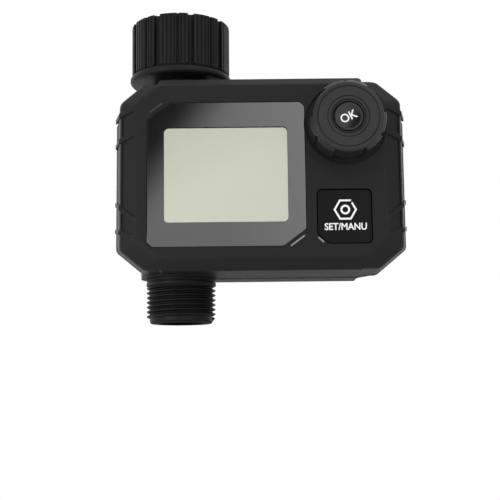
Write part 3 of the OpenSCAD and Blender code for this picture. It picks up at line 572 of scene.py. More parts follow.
white_plastic = plain(
    "white_plastic", smooth_resin, (0.66, 0.66, 0.63), (0.78, 0.78, 0.75), rough=0.42
)
gear_resin = plain("gear_resin", smooth_resin, (0.70, 0.67, 0.58), (0.80, 0.77, 0.68), rough=0.36)
seat_resin = plain("seat_resin", smooth_resin, (0.80, 0.80, 0.79), (0.88, 0.88, 0.87), rough=0.3)
clear_silicone = plain(
    "clear_silicone", smooth_resin, (0.62, 0.60, 0.50), (0.74, 0.72, 0.62), rough=0.34, depth=0.02
)
filter_yellow = plain(
    "filter_yellow", smooth_resin, (0.82, 0.47, 0.02), (0.92, 0.56, 0.04), rough=0.36, depth=0.012
)


@material("board_green")
def board_green(f):
    """Solder mask over copper tracks."""
    x, _, z = f.axes()
    track_x = (x / 2.54 + 40).fract()
    track_z = (z / 5.08 + 40).fract()
    routed = f.noise(9, 1).step(0.46, 0.5)
    tracks = (-abs(track_x - 0.5) + 0.12).step(0, 0.03) * routed
    tracks = tracks.bigger((-abs(track_z - 0.5) + 0.06).step(0, 0.02) * (1 - routed))
    weave = f.noise(0.5, 2)
    tone = f.blend(tracks, (0.006, 0.070, 0.022), (0.012, 0.13, 0.04))
    f.surface(
        Base_Color=f.blend(weave * 0.25, tone, (0.004, 0.045, 0.015)),
        Roughness=0.3 + weave * 0.12,
        Normal=f.bump(tracks + weave * 0.1, 0.04, 0.5)
    )


@material("cell_wrap")
def cell_wrap(f, low, high):
    """Battery sleeve: a plain two-tone wrap, with the bare metal ends at both tips."""
    _, _, z = f.axes()
    share = (z - float(low)) / (float(high) - float(low))
    end = (abs(share - 0.5) * 2).step(0.955, 0.962)
    band = share.step(0.66, 0.665)
    ink = f.noise(0.4, 3)
    sleeve = f.blend(band, (0.018, 0.018, 0.02), (0.62, 0.26, 0.05))
    f.surface(
        Base_Color=f.blend(end, f.blend(ink * 0.1, sleeve, (0.1, 0.1, 0.1)), (0.58, 0.58, 0.6)),
        Metallic=end, Roughness=0.28 + ink * 0.1, Normal=f.bump(f.noise(3, 2), 0.03, 0.2)
    )


@material("lead_sleeve")
def lead_sleeve(f):
    """Wire insulation, red in some places and black in others."""
    grain = f.noise(0.4, 3)
    split = f.noise(30, 0).step(0.49, 0.51)
    red = f.blend(grain, (0.30, 0.012, 0.010), (0.42, 0.02, 0.014))
    black = f.blend(grain, (0.012, 0.012, 0.012), (0.03, 0.03, 0.03))
    f.surface(
        Base_Color=f.blend(split, red, black), Roughness=0.42 + grain * 0.1,
        Normal=f.bump(grain, 0.01, 0.3)
    )


# ---- Making meshes, in millimetres --------------------------------------------

def thicken(bm, *way):
    """Gives a flat drawing a thickness along a way."""
    grown = bmesh.ops.extrude_face_region(bm, geom=bm.faces[:])["geom"]
    verts = [part for part in grown if isinstance(part, bmesh.types.BMVert)]
    bmesh.ops.translate(bm, verts=verts, vec=way)
    return bm


def round_edges(bm, edges, radius, steps=3):
    """Rounds some of a bmesh's edges."""
    bmesh.ops.bevel(
        bm, geom=edges, offset=radius, offset_type="OFFSET", segments=steps, profile=0.5,
        affect="EDGES", clamp_overlap=True, material=-1
    )
    return bm


def lies_at(edge, y):
    """Whether an edge lies at one depth."""
    return all(abs(vert.co.y - y) < NEAR for vert in edge.verts)


def slab(points, y0, y1, radius=0.0, steps=4):
    """A front-view outline, with its corners rounded, stood up between two depths."""
    bm = bmesh.new()
    face = bm.faces.new([bm.verts.new((x, y0, z)) for x, z in points])
    if radius:
        bmesh.ops.bevel(
            bm, geom=list(face.verts), offset=radius, offset_type="OFFSET", segments=steps,
            profile=0.5, affect="VERTICES", material=-1
        )
    return thicken(bm, 0, y1 - y0, 0)


def block(x0, x1, y0, y1, z0, z1):
    """A box between three pairs of limits."""
    bm = bmesh.new()
    middle = Vector(((x0 + x1) / 2, (y0 + y1) / 2, (z0 + z1) / 2))
    shape = Matrix.Translation(middle) @ Matrix.Diagonal((x1 - x0, y1 - y0, z1 - z0, 1))
    bmesh.ops.create_cube(bm, size=1, matrix=shape)
    return bm


def rod(axis, radius, start, end, centre=(0, 0), steps=64):
    """A round bar along an axis; centre gives the other two places in order."""
    bm = bmesh.new()
    bmesh.ops.create_cone(
        bm, cap_ends=True, segments=steps, radius1=radius, radius2=radius, depth=abs(end - start)
    )
    middle = (start + end) / 2
    if axis == "X":
        turn = Matrix.Rotation(pi / 2, 4, "Y")
        place = (middle, centre[0], centre[1])
    elif axis == "Y":
        turn = Matrix.Rotation(pi / 2, 4, "X")
        place = (centre[0], middle, centre[1])
    else:
        turn = Matrix.Identity(4)
        place = (centre[0], centre[1], middle)
    bmesh.ops.transform(bm, verts=bm.verts, matrix=Matrix.Translation(place) @ turn)
    return bm


def lathe(profile, axis="Z", centre=(0, 0), steps=96, angle=TURN, start=0.0):
    """Spins a closed profile of (radius, place along the axis) round the axis."""
    bm = bmesh.new()
    if axis == "Y":
        points = [(r, h, 0) for r, h in profile]
        pole, move = (0, 1, 0), (centre[0], 0, centre[1])
    else:
        points = [(r, 0, h) for r, h in profile]
        pole, move = (0, 0, 1), (centre[0], centre[1], 0)
    verts = [bm.verts.new(p) for p in points]
    bmesh.ops.rotate(bm, verts=verts, cent=(0, 0, 0), matrix=Matrix.Rotation(start, 3, pole))
    whole = abs(angle - TURN) < 1e-6
    if whole:
        geom = verts + [bm.edges.new((verts[i - 1], verts[i])) for i in range(len(verts))]
    else:
        geom = [bm.faces.new(verts)]
        geom += list(geom[0].edges) + verts
    bmesh.ops.spin(
        bm, geom=geom, cent=(0, 0, 0), axis=pole, angle=angle, steps=steps, use_merge=whole
    )
    bmesh.ops.remove_doubles(bm, verts=bm.verts, dist=1e-4)
    bmesh.ops.dissolve_degenerate(bm, edges=bm.edges, dist=1e-5)
    bmesh.ops.translate(bm, verts=bm.verts, vec=move)
    return bm


def helix(profile, z0, turns, steps=72):
    """Sweeps a closed profile of (radius, height) up the pipe thread's screw."""
    bm = bmesh.new()
    face = bm.faces.new([bm.verts.new((r, 0, z0 + h)) for r, h in profile])
    bmesh.ops.spin(
        bm, geom=[face, *face.edges, *face.verts], cent=(0, 0, 0), axis=(0, 0, 1),
        dvec=(0, 0, THREAD_PITCH / steps), angle=TURN * turns, steps=int(turns * steps)
    )
    return bm


def joined(*shapes):
    """One bmesh that holds several."""
    whole = bmesh.new()
    for bm in shapes:
        mesh = bpy.data.meshes.new("part")
        bm.to_mesh(mesh)
        bm.free()
        whole.from_mesh(mesh)
        bpy.data.meshes.remove(mesh)
    return whole


def put(name, data):
    """A new object in the scene."""
    obj = bpy.data.objects.new(name, data)
    bpy.context.scene.collection.objects.link(obj)
    return obj


def solid(bm):
    """Turns a bmesh into a temporary object with its faces outwards."""
    bmesh.ops.recalc_face_normals(bm, faces=bm.faces)
    mesh = bpy.data.meshes.new("part")
    bm.to_mesh(mesh)
    bm.free()
    return put("part", mesh)


def drop(obj):
    """Removes a temporary object and its mesh."""
    mesh = obj.data
    bpy.data.objects.remove(obj)
    bpy.data.meshes.remove(mesh)


def taken(obj):
    """The bmesh of a temporary object, which is dropped."""
    bm = bmesh.new()
    bm.from_mesh(obj.data)
    drop(obj)
    return bm


def carve(base, shape, how="DIFFERENCE"):
    """Takes a shape away from an object, or combines them in another way."""
    tool = solid(shape)
    change = base.modifiers.new("change", "BOOLEAN")
    change.operation = how
    change.solver = "MANIFOLD"
    change.object = tool
    ready = base.evaluated_get(bpy.context.evaluated_depsgraph_get())
    mesh = bpy.data.meshes.new_from_object(ready)
    base.modifiers.clear()
    old = base.data
    base.data = mesh
    bpy.data.meshes.remove(old)
    drop(tool)
    if not mesh.polygons:
        raise RuntimeError("a cut left nothing of a piece")
    return base


def add(base, shape):
    """Joins a shape to an object."""
    return carve(base, shape, "UNION")


def soften(obj, y, radius, steps=3):
    """Rounds the sharp edges that lie at one depth."""
    bm = bmesh.new()
    bm.from_mesh(obj.data)
    bmesh.ops.remove_doubles(bm, verts=bm.verts, dist=NEAR)
    sharp = [edge for edge in bm.edges if len(edge.link_faces) == 2
             and edge.calc_face_angle(0) > 0.6 and lies_at(edge, y)]
    round_edges(bm, sharp, radius, steps)
    bm.to_mesh(obj.data)
    bm.free()


def finish_piece(obj, name, body, surface, stands_for=(), smooth=32):
    """Scales a piece to metres, names it, gives it its finish, ties it to its body and hides the
    CAD nodes that it stands for.
    """
    bm = bmesh.new()
    bm.from_mesh(obj.data)
    bmesh.ops.remove_doubles(bm, verts=bm.verts, dist=1e-4)
    bmesh.ops.dissolve_degenerate(bm, edges=bm.edges, dist=1e-5)
    bmesh.ops.recalc_face_normals(bm, faces=bm.faces)
    bmesh.ops.scale(bm, verts=bm.verts, vec=(MM, MM, MM))
    bm.to_mesh(obj.data)
    bm.free()
    obj.name = name
    obj.data.name = name
    obj.data.shade_smooth()
    obj.data.set_sharp_from_angle(angle=radians(smooth))
    even = obj.modifiers.new("even_normals", "WEIGHTED_NORMAL")
    even.keep_sharp = True
    even.weight = 100
    obj.data.materials.clear()
    obj.data.materials.append(surface)
    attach(obj, body)
    if stands_for:
        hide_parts(*stands_for)
    return obj


def word(text, height, width, bold):
    """A word as a flat mesh round the origin in the XZ plane, in millimetres."""
    curve = bpy.data.curves.new("word", "FONT")
    curve.body = text
    curve.align_x = "CENTER"
    curve.align_y = "CENTER"
    curve.offset = bold
    curve.resolution_u = 6
    holder = put("word", curve)
    ready = holder.evaluated_get(bpy.context.evaluated_depsgraph_get())
    mesh = bpy.data.meshes.new_from_object(ready)
    bpy.data.objects.remove(holder)
    bpy.data.curves.remove(curve)
    bm = bmesh.new()
    bm.from_mesh(mesh)
    bpy.data.meshes.remove(mesh)
    bmesh.ops.remove_doubles(bm, verts=bm.verts, dist=1e-5)
    xs = [v.co.x for v in bm.verts]
    ys = [v.co.y for v in bm.verts]
    bmesh.ops.translate(
        bm, verts=bm.verts, vec=(-(min(xs) + max(xs)) / 2, -(min(ys) + max(ys)) / 2, 0)
    )
    size = (width / (max(xs) - min(xs)), height / (max(ys) - min(ys)), 1)
    bmesh.ops.scale(bm, verts=bm.verts, vec=size)
    bmesh.ops.rotate(bm, verts=bm.verts, cent=(0, 0, 0), matrix=Matrix.Rotation(pi / 2, 3, "X"))
    return bm


# ---- Outlines of the case -----------------------------------------------------

def cut_box(width, height, low_left, low_right, top_right, top_left):
    """A box with cut corners; each cut is (width, height)."""
    w, h = width / 2, height / 2
    return [
        (-w + low_left[0], -h), (w - low_right[0], -h),
        (w, -h + low_right[1]), (w, h - top_right[1]),
        (w - top_right[0], h), (-w + top_left[0], h),
        (-w, h - top_left[1]), (-w, -h + low_left[1]),
    ]


def moved(points, x, z):
    """An outline at another place."""
    return [(px + x, pz + z) for px, pz in points]


def case_outline(in_x, in_z, corner, lift=0.0):
    """The case's outline, drawn in from its sides and ends; corner scales its cuts."""
    sizes = Sizes("timer_case")
    cut = (CORNER[0] * corner, CORNER[1] * corner)
    height = CASE_H - 2 * sizes.band_step - 2 * in_z
    return moved(cut_box(CASE_W - 2 * in_x, height, cut, cut, cut, cut), MID_X, MID_Z + lift)


def loft(layers):
    """Bridges outlines of as many points at several depths and closes both ends."""
    bm = bmesh.new()
    rings = []
    for points, y in layers:
        verts = [bm.verts.new((x, y, z)) for x, z in points]
        rings.append([bm.edges.new((verts[i - 1], verts[i])) for i in range(len(verts))])
    for low, high in zip(rings, rings[1:]):
        bmesh.ops.bridge_loops(bm, edges=low + high)
    for ring in (rings[0], rings[-1]):
        bmesh.ops.contextual_create(bm, geom=ring)
    bmesh.ops.recalc_face_normals(bm, faces=bm.faces)
    return bm


def round_loft(bm, radius, steps, keep_y):
    """Rounds every edge of a loft but the ring at one depth."""
    chosen = [edge for edge in bm.edges if not lies_at(edge, keep_y)]
    return round_edges(bm, chosen, radius, steps)


def window_outline(gap):
    """The window's outline, grown by a gap, with two large and two small corner cuts."""
    small, cut = (1.8, 1.8), WINDOW_CUT
    width = WINDOW_HI.x - WINDOW_LO.x + 2 * gap
    height = WINDOW_HI.z - WINDOW_LO.z + 2 * gap
    middle = ((WINDOW_LO.x + WINDOW_HI.x) / 2, (WINDOW_LO.z + WINDOW_HI.z) / 2)
    return moved(cut_box(width, height, small, cut, small, cut), *middle)


def key_outline(side):
    """The key's square, cut deeper at its lower left corner, with a given side."""
    small = (1.2, 1.2)
    return moved(cut_box(side, side, (4, 3.6), small, small, small), KEY_X, KEY_Z)


def bar_outline(middle, lean, out, long, gap=0.0):
    """A short bar outside a corner cut, from the cut's middle and its lean."""
    half, wide = long / 2 + gap, 0.35 + gap
    turn = Matrix.Rotation(lean, 2)
    points = []
    for x, z in ((-half, -wide), (half, -wide), (half, wide), (-half, wide)):
        spot = turn @ Vector((x, z + out * 1.5))
        points.append((spot.x + middle[0], spot.y + middle[1]))
    return points


# Each trim bar: its corner cut's middle, the cut's lean, the side of it and the bar's length
WINDOW_LEAN = atan(WINDOW_CUT[1] / WINDOW_CUT[0])
KEY_LEAN = -atan(0.9)
BAR_SPOTS = (
    ((WINDOW_HI.x - 4.15, WINDOW_LO.z + 3.1), WINDOW_LEAN, -1, 6.4),
    ((KEY_X - 7.72, KEY_Z - 7.45), KEY_LEAN, -1, 2.8),
    ((WINDOW_LO.x + 4.15, WINDOW_HI.z - 3.1), WINDOW_LEAN, 1, 5.4),
)

# Ribs of the side walls: height above the middle, fall outwards and rise backwards per mm
SIDE_RIBS = ((23, 0.515, 0.25), (13.4, 0.5, 0.217), (-12, -0.817, 0.07), (-21, -0.397, 0.09))


def both_sides(bm):
    """Adds the mirror image on the case's other side."""
    twin = bm.copy()
    flip = Matrix.Translation((MID_X, 0, 0)) @ Matrix.Scale(-1, 4, (1, 0, 0))
    bmesh.ops.transform(twin, verts=twin.verts, matrix=flip @ Matrix.Translation((-MID_X, 0, 0)))
    bmesh.ops.reverse_faces(twin, faces=twin.faces)
    return joined(bm, twin)


def side_rib(height, fall, rise, sizes):
    """One rib across the left wall, leaning out and back."""
    wall_y = FRONT_Y + sizes.bevel_d
    seen = (
        (-FLARE - 0.45, -0.4), (-FLARE - 0.45, -2.6), (-0.4, wall_y), (3.6, FRONT_Y + 1.15),
        (sizes.bevel_w - 0.8, FRONT_Y + WALL), (0.6, FRONT_Y + WALL + 3), (-FLARE + 1, -0.4),
    )
    bm = bmesh.new()
    bm.faces.new([bm.verts.new((CASE_L + x, y, -sizes.rib_t / 2)) for x, y in seen])
    thicken(bm, 0, 0, sizes.rib_t)
    lean = Matrix.Identity(4)
    lean[2][0] = fall
    lean[2][1] = rise
    lean[2][3] = MID_Z + height - fall * CASE_L - rise * wall_y
    bmesh.ops.transform(bm, verts=bm.verts, matrix=lean)
    return bm


def side_panels(sizes):
    """Cutters for the three sunk panels between the ribs, on both sides."""
    slope = -sizes.bevel_d / sizes.bevel_w
    inner, outer = sizes.bevel_w + 0.25, 0.7
    margin = sizes.rib_t / 2 + 0.12
    cutters = []
    for upper, lower in zip(SIDE_RIBS, SIDE_RIBS[1:]):
        points = []
        for out, (height, fall, rise), side in (
            (outer, upper, -1), (inner, upper, -1), (inner, lower, 1), (outer, lower, 1)
        ):
            along = (fall + slope * rise) * out
            points.append((CASE_L + out, MID_Z + height + along + side * margin))
        bm = slab(points, -6, sizes.panel_d, 0.5, 3)
        shear = Matrix.Identity(4)
        shear[1][0] = slope
        shear[1][3] = FRONT_Y + sizes.bevel_d - slope * CASE_L
        bmesh.ops.transform(bm, verts=bm.verts, matrix=shear)
        cutters.append(bm)
    return both_sides(joined(*cutters))


def screw_spots():
    """The places of the four case screws."""
    head_r = 2.6
    xs = (SCREW_LO.x + head_r, SCREW_HI.x - head_r)
    zs = (SCREW_LO.z + head_r, SCREW_HI.z - head_r)
    return [(x, z) for x in xs for z in zs]


def pipe_holes(base):
    """Clears the valve body and the outlet out of a case half."""
    neck_r, shoulder_r, outlet_r = 12.05, 13.65, 12.45
    carve(base, rod("Z", neck_r, MID_Z, CASE_T + 3))
    carve(base, rod("Z", shoulder_r, CASE_T - 9.3, CASE_T - 3.25))
    carve(base, rod("Z", outlet_r, CASE_B - 3, MID_Z))


def band_outline(out=0.0, in_z=0.0, lift=0.0):
    """Outline of the higher band between the cut corners."""
    one = (1, 1)
    height = CASE_H + 2 * out - 2 * in_z
    return moved(cut_box(CASE_W - 28 + 2 * out, height, one, one, one, one), MID_X, MID_Z + lift)


def clipped_boss(y0, y1, out=0.0):
    """The round boss where the outlet leaves the case, between two depths."""
    base = solid(rod("Z", BOSS_R + out, CASE_B - out, CASE_B + 8, steps=96))
    carve(base, block(-20, 20, y0, y1, CASE_B - 1, CASE_B + 9), "INTERSECT")
    return taken(base)


def case_half(layers, open_y):
    """A solid half of the case from its outlines, its edges rounded but at the open end."""
    shell = loft(layers)
    bmesh.ops.dissolve_limit(shell, angle_limit=radians(1), verts=shell.verts, edges=shell.edges)
    return solid(round_loft(shell, Sizes("timer_case").edge_r, 4, open_y))


def front_case():
    """The front half: bevelled shell, middle band, ribs and panels, then its openings."""
    sizes = Sizes("timer_case")
    wall_y = FRONT_Y + sizes.bevel_d
    slope = FLARE / -wall_y
    base = case_half([
        (case_outline(sizes.bevel_w, sizes.bevel_h, FRONT_CORNER, sizes.lift), FRONT_Y),
        (case_outline(0, 0, FRONT_CORNER), wall_y),
        (case_outline(-FLARE, 0, 1), 0),
        (case_outline(-FLARE - slope * PAST, 0, 1), PAST),
    ], PAST)
    face_in = sizes.bevel_h + sizes.band_step + 0.02
    band = loft([
        (band_outline(0, face_in, sizes.lift), FRONT_Y + 0.01), (band_outline(0, 0, 0.6), wall_y),
        (band_outline(), PAST),
    ])
    add(base, round_loft(band, 0.6, 3, PAST))
    add(base, clipped_boss(-16, PAST))
    carve(base, side_panels(sizes))
    ribs = joined(*(side_rib(*rib, sizes) for rib in SIDE_RIBS))
    add(base, both_sides(ribs))
    in_bevel = sizes.bevel_w * 0.55 + WALL
    carve(base, loft([
        (case_outline(in_bevel, WALL, FRONT_CORNER), FRONT_Y + WALL),
        (case_outline(WALL - FLARE, WALL, 1), 0),
        (case_outline(WALL - FLARE, WALL, 1), PAST + 1),
    ]))
    posts = [rod("Y", FRONT_POST_R, FRONT_Y + 8, -0.2, spot, 40) for spot in screw_spots()]
    add(base, joined(*posts))
    carve(base, block(*WIDE_X, -SEAM, PAST + 4, *WIDE_Z))
    # window recess, display opening, key opening, bar pockets and the knob's recess
    outside, inside = FRONT_Y - 1, FRONT_Y + 5
    opening = solid(slab(window_outline(0.1), outside, WINDOW_HI.y + FIT, 0.7))
    carve(opening, rod("Y", MOAT_R + 0.2, FRONT_Y - 5, inside, KNOB_SPOT, 128))
    carve(base, taken(opening))
    display = (LCD_LO.x - 0.1, LCD_HI.x + 0.1, outside, inside, LCD_LO.z - 0.1, LCD_HI.z + 0.1)
    carve(base, block(*display))
    carve(base, slab(key_outline(KEY_OPENING), outside, inside, KEY_CORNER))
    for spot in BAR_SPOTS:
        carve(base, slab(bar_outline(*spot, gap=FIT), outside, FRONT_Y + 0.41))
    carve(base, rod("Y", MOAT_R, outside, FRONT_Y + MOAT_D, KNOB_SPOT, 128))
    carve(base, rod("Y", SHAFT_HOLE_R, FRONT_Y - 2, inside, KNOB_SPOT, 48))
    for spot in screw_spots():
        carve(base, rod("Y", PILOT_R, -13, 1, spot, 24))
    pipe_holes(base)
    return base


def rear_case():
    """The rear half: shell, battery bay, hinge ears and door frame, then its holes."""
    base = case_half([
        (case_outline(-FLARE * 0.2, 1.2, 1), BACK_Y),
        (case_outline(-FLARE, 0, 1), 0),
        (case_outline(-FLARE - 0.45, -0.17, 1), -PAST),
    ], -PAST)
    add(base, slab(band_outline(), -PAST, BACK_Y * 0.6))
    add(base, clipped_boss(-PAST, 16))
    carve(base, loft([
        (case_outline(WALL - FLARE, WALL, 1), -PAST - 1),
        (case_outline(WALL - FLARE, WALL, 1), 0),
        (case_outline(WALL - FLARE * 0.2, WALL + 1.2, 1), BACK_Y - WALL),
    ]))
    posts = [rod("Y", POST_R, -PAST, BACK_Y - 1, spot, 40) for spot in screw_spots()]
    add(base, joined(*posts))
    bay_y = span("battery_left", "battery_right")[0].y - 0.3
    add(base, block(BAY_L - 1.2, BAY_R + 1.2, bay_y - 1.2, BACK_Y - 0.5, BAY_B - 1.2, BAY_T + 1.2))
    # ears of the door's hinge
    for side in (-1, 1):
        middle = HINGE_X + side * 7.8
        ends = (middle - 1.5, middle + 1.5)
        add(base, rod("X", HINGE_R, *ends, PIN_SPOT, 40))
        add(base, block(*ends, BACK_Y - 1, PIN_Y, PIN_Z - HINGE_R, PIN_Z + HINGE_R))
    # low frame round the battery door and shallow grooves down the back
    add(base, block(
        DOOR_LO.x - 1.6, DOOR_HI.x + 1.6, BACK_Y - 1, BACK_Y + 0.6, DOOR_LO.z + 5.4, DOOR_HI.z + 0.6
    ))
    carve(base, block(
        DOOR_LO.x - 0.4, DOOR_HI.x + 0.4, BACK_Y, BACK_Y + 2, DOOR_LO.z + 3, DOOR_HI.z - 0.6
    ))
    for k in range(5):
        x = CASE_L + 9 + 8.5 * k
        carve(base, block(x, x + 1.4, BACK_Y - 0.5, BACK_Y + 2, CASE_B + 16, CASE_T - 16))
    carve(base, block(*WIDE_X, -PAST - 4, 0, *WIDE_Z))
    carve(base, block(BAY_L, BAY_R, bay_y, BACK_Y + 4, BAY_B, BAY_T))
    for spot in screw_spots():
        carve(base, rod("Y", HEAD_WELL_R, 6, BACK_Y + 3, spot, 40))
        carve(base, rod("Y", POST_HOLE_R, -1, 7, spot, 24))
    # room for the door's knuckle, and the hinge pin's hole
    room = HINGE_HALF + 0.3
    carve(base, rod("X", HINGE_R + 0.3, HINGE_X - room, HINGE_X + room, PIN_SPOT, 40))
    carve(base, rod("X", 0.95, HINGE_X - 12, HINGE_X + 12, PIN_SPOT, 24))
    # groove that holds the battery seal
    ring = 1.05
    groove = solid(block(
        SEAL_LO.x - FIT, SEAL_HI.x + FIT, SEAL_LO.y, BACK_Y + 1, SEAL_LO.z - FIT, SEAL_HI.z + FIT
    ))
    carve(groove, block(
        SEAL_LO.x + ring, SEAL_HI.x - ring, SEAL_LO.y - 1, BACK_Y + 2, SEAL_LO.z + ring,
        SEAL_HI.z - ring
    ))
    carve(base, taken(groove))
    pipe_holes(base)
    return base


# ---- Operators: one for each piece or group of like pieces ---------------------

class PieceOperator(bpy.types.Operator):
    """Shared settings of the operators that build pieces."""

    bl_options = {"REGISTER", "UNDO"}


class TIMER_OT_case_front(PieceOperator):
    """Build the front half of the case with its bevel, ribs, panels and openings"""

    bl_idname = "timer.case_front"
    bl_label = "Front case"

    def execute(self, context):
        finish_piece(
            front_case(), "case_front", "case", case_plastic(), ["front_shell"]
        )
        return {"FINISHED"}


class TIMER_OT_case_rear(PieceOperator):
    """Build the rear half of the case with its screw wells and battery bay"""

    bl_idname = "timer.case_rear"
    bl_label = "Rear case"

    def execute(self, context):
        finish_piece(
            rear_case(), "case_rear", "case", case_plastic(), ["rear_shell"]
        )
        return {"FINISHED"}


class TIMER_OT_seam_and_trim(PieceOperator):
    """Build the bead along the seam and the three short trim bars"""

    bl_idname = "timer.seam_and_trim"
    bl_label = "Seam bead and trim"

    def execute(self, context):
        sizes = Sizes("timer_case")
        out = sizes.bead
        depths = (-1.0, -0.15)
        base = solid(slab(case_outline(-FLARE - out, -out, 1), *depths, 1.2))
        add(base, slab(band_outline(out), *depths))
        add(base, clipped_boss(*depths, out))
        carve(base, slab(case_outline(0.4 - FLARE, 0.4 + sizes.band_step, 1), -2, 1))
        finish_piece(base, "seam_bead", "case", seam_rubber())
        front = WINDOW_LO.y - 0.25
        bars = []
        for spot in BAR_SPOTS:
            bar = slab(bar_outline(*spot), front, FRONT_Y + 0.4)
            bars.append(round_edges(bar, [e for e in bar.edges if lies_at(e, front)], 0.12))
        # the last bar, at the window's upper left, gets the darker copy of the silver: painted
        # shade
        dark = solid(bars.pop())
        finish_piece(dark, "trim_smoked", "case", smoked_trim())
        base = solid(joined(*bars))
        finish_piece(base, "trim_set", "case", silver_trim(), ["trim_bars"])
        return {"FINISHED"}


class TIMER_OT_window(PieceOperator):
    """Build the glossy window with its clear display area"""

    bl_idname = "timer.window"
    bl_label = "Window"

    def execute(self, context):
        base = solid(slab(window_outline(0), WINDOW_LO.y, WINDOW_HI.y, 0.7, 5))
        carve(base, rod("Y", MOAT_R + 0.3, FRONT_Y - 5, FRONT_Y + 5, KNOB_SPOT, 128))
        soften(base, WINDOW_LO.y, 0.22)
        # the border covers the display's edge, a little less at the left and more at the top
        left, right, low, high = 1.5 - 0.35, 1.5, 1.5, 1.5 + 0.3
        glass = window_glass(
            round(LCD_LO.x + left, 2), round(LCD_HI.x - right, 2),
            round(LCD_LO.z + low, 2), round(LCD_HI.z - high, 2)
        )
        finish_piece(base, "window", "case", glass, ["display_window"])
        return {"FINISHED"}


class TIMER_OT_knob(PieceOperator):
    """Build the knob with its turned face and lobed grip"""

    bl_idname = "timer.knob"
    bl_label = "Knob"

    def execute(self, context):
        sizes = Sizes("timer_knob")
        front, low, face, deep = KNOB_Y, KNOB_HI.y, sizes.face_r, sizes.groove_d
        hub_r, hollow_r, sleeve_r, shaft_r = 5.0, 10.1, 3.05, 1.7
        hub_y = FRONT_Y - 1.4
        floor, inside = front + 5, front + 5.6
        base = solid(lathe([
            (WELL_R, floor), (WELL_R, front + 0.25), (WELL_R + 0.12, front + 0.1),
            (5.85, front + 0.1), (5.95, front + 0.7), (6.25, front + 0.7), (6.38, front + 0.12),
            (7.25, front + 0.06), (7.36, front + deep), (7.56, front + deep), (7.68, front + 0.06),
            (10.86, front), (10.96, front + deep), (11.18, front + deep), (11.3, front),
            (face - 0.8, front), (face - 0.4, front + 0.1), (face - 0.12, front + 0.36),
            (face, front + 0.8), (face + 0.02, low), (hollow_r, low), (hollow_r, inside),
            (hub_r, inside), (hub_r, hub_y), (sleeve_r, hub_y), (sleeve_r, inside),
            (shaft_r, inside), (shaft_r, floor),
        ], "Y", KNOB_SPOT, 144))
        grip = sizes.grip_r
        skirt = solid(lathe([
            (hollow_r + 0.4, front + 0.8), (face - 0.2, front + 0.8), (face + 0.06, front + 0.9),
            (grip - 0.25, front + 1.9), (grip, front + 2.3), (grip, low - 0.5), (grip - 0.4, low),
            (hollow_r + 0.4, low),
        ], "Y", KNOB_SPOT, 144))
        # three wide hollows between the lobes, and a notch in each lobe
        for k in range(3):
            middle = 87 + 120 * k
            self.hollow(skirt, face + 0.04, grip + 3, middle, 26, 20)
            self.hollow(skirt, grip - 0.55, grip + 3, middle + 60, 3.2, 4)
        add(base, taken(skirt))
        finish_piece(
            base, "knob_grip", "knob", knob_plastic(), ["knob", "knob_face"]
        )
        return {"FINISHED"}

    def hollow(self, skirt, inner, outer, middle, half, steps):
        """Cuts a sector out of the grip, half being half its angle in degrees."""
        front, low = KNOB_Y, KNOB_HI.y + 1
        sector = [(inner, front), (outer, front), (outer, low), (inner, low)]
        angle = 2 * radians(half)
        start = radians(middle) - radians(half)
        carve(skirt, lathe(sector, "Y", KNOB_SPOT, steps, angle, start))


def cap_depth(radius):
    """Where the push cap's dish, part of a large ball, lies at a radius."""
    ball_r, ball_y = 30.35, KNOB_Y + 0.2 - 30
    return ball_y + sqrt(ball_r ** 2 - radius ** 2)


class TIMER_OT_ok_cap(PieceOperator):
    """Build the dished push cap and its word"""

    bl_idname = "timer.ok_cap"
    bl_label = "OK cap"

    def execute(self, context):
        radius = Sizes("timer_knob").cap_r
        rim = CAP_LO.y
        back, stem_r = rim + 3.3, 1.4
        dish = [(r, max(cap_depth(r), rim + 0.02)) for r in (0, 0.8, 1.6, 2.4, 3.2, 3.9, 4.45)]
        profile = dish + [
            (radius - 0.35, rim), (radius - 0.12, rim + 0.05), (radius, rim + 0.25),
            (radius, back), (stem_r, back), (stem_r, CAP_HI.y), (0, CAP_HI.y),
        ]
        base = solid(lathe(profile, "Y", KNOB_SPOT, 96))
        finish_piece(base, "cap_button", "ok_cap", cap_gloss(), ["ok_cap"])
        letters = word("OK", height=3.15, width=6.1, bold=0.012)
        tilt = Matrix.Rotation(radians(-25), 3, "Y")
        bmesh.ops.rotate(letters, verts=letters.verts, cent=(0, 0, 0), matrix=tilt)
        for vert in letters.verts:
            vert.co.y = cap_depth(hypot(vert.co.x, vert.co.z)) - 0.05
        bmesh.ops.translate(letters, verts=letters.verts, vec=(KNOB_X, 0, KNOB_Z))
        base = solid(thicken(letters, 0, 0.06, 0))
        finish_piece(base, "cap_word", "ok_cap", legend_paint())
        return {"FINISHED"}


def hexagon(radius, y0, y1, x, z):
    """A six-sided bar with flat top and bottom."""
    spots = [(x + radius * cos(k * TURN / 6), z + radius * sin(k * TURN / 6)) for k in range(6)]
    return slab(spots, y0, y1)


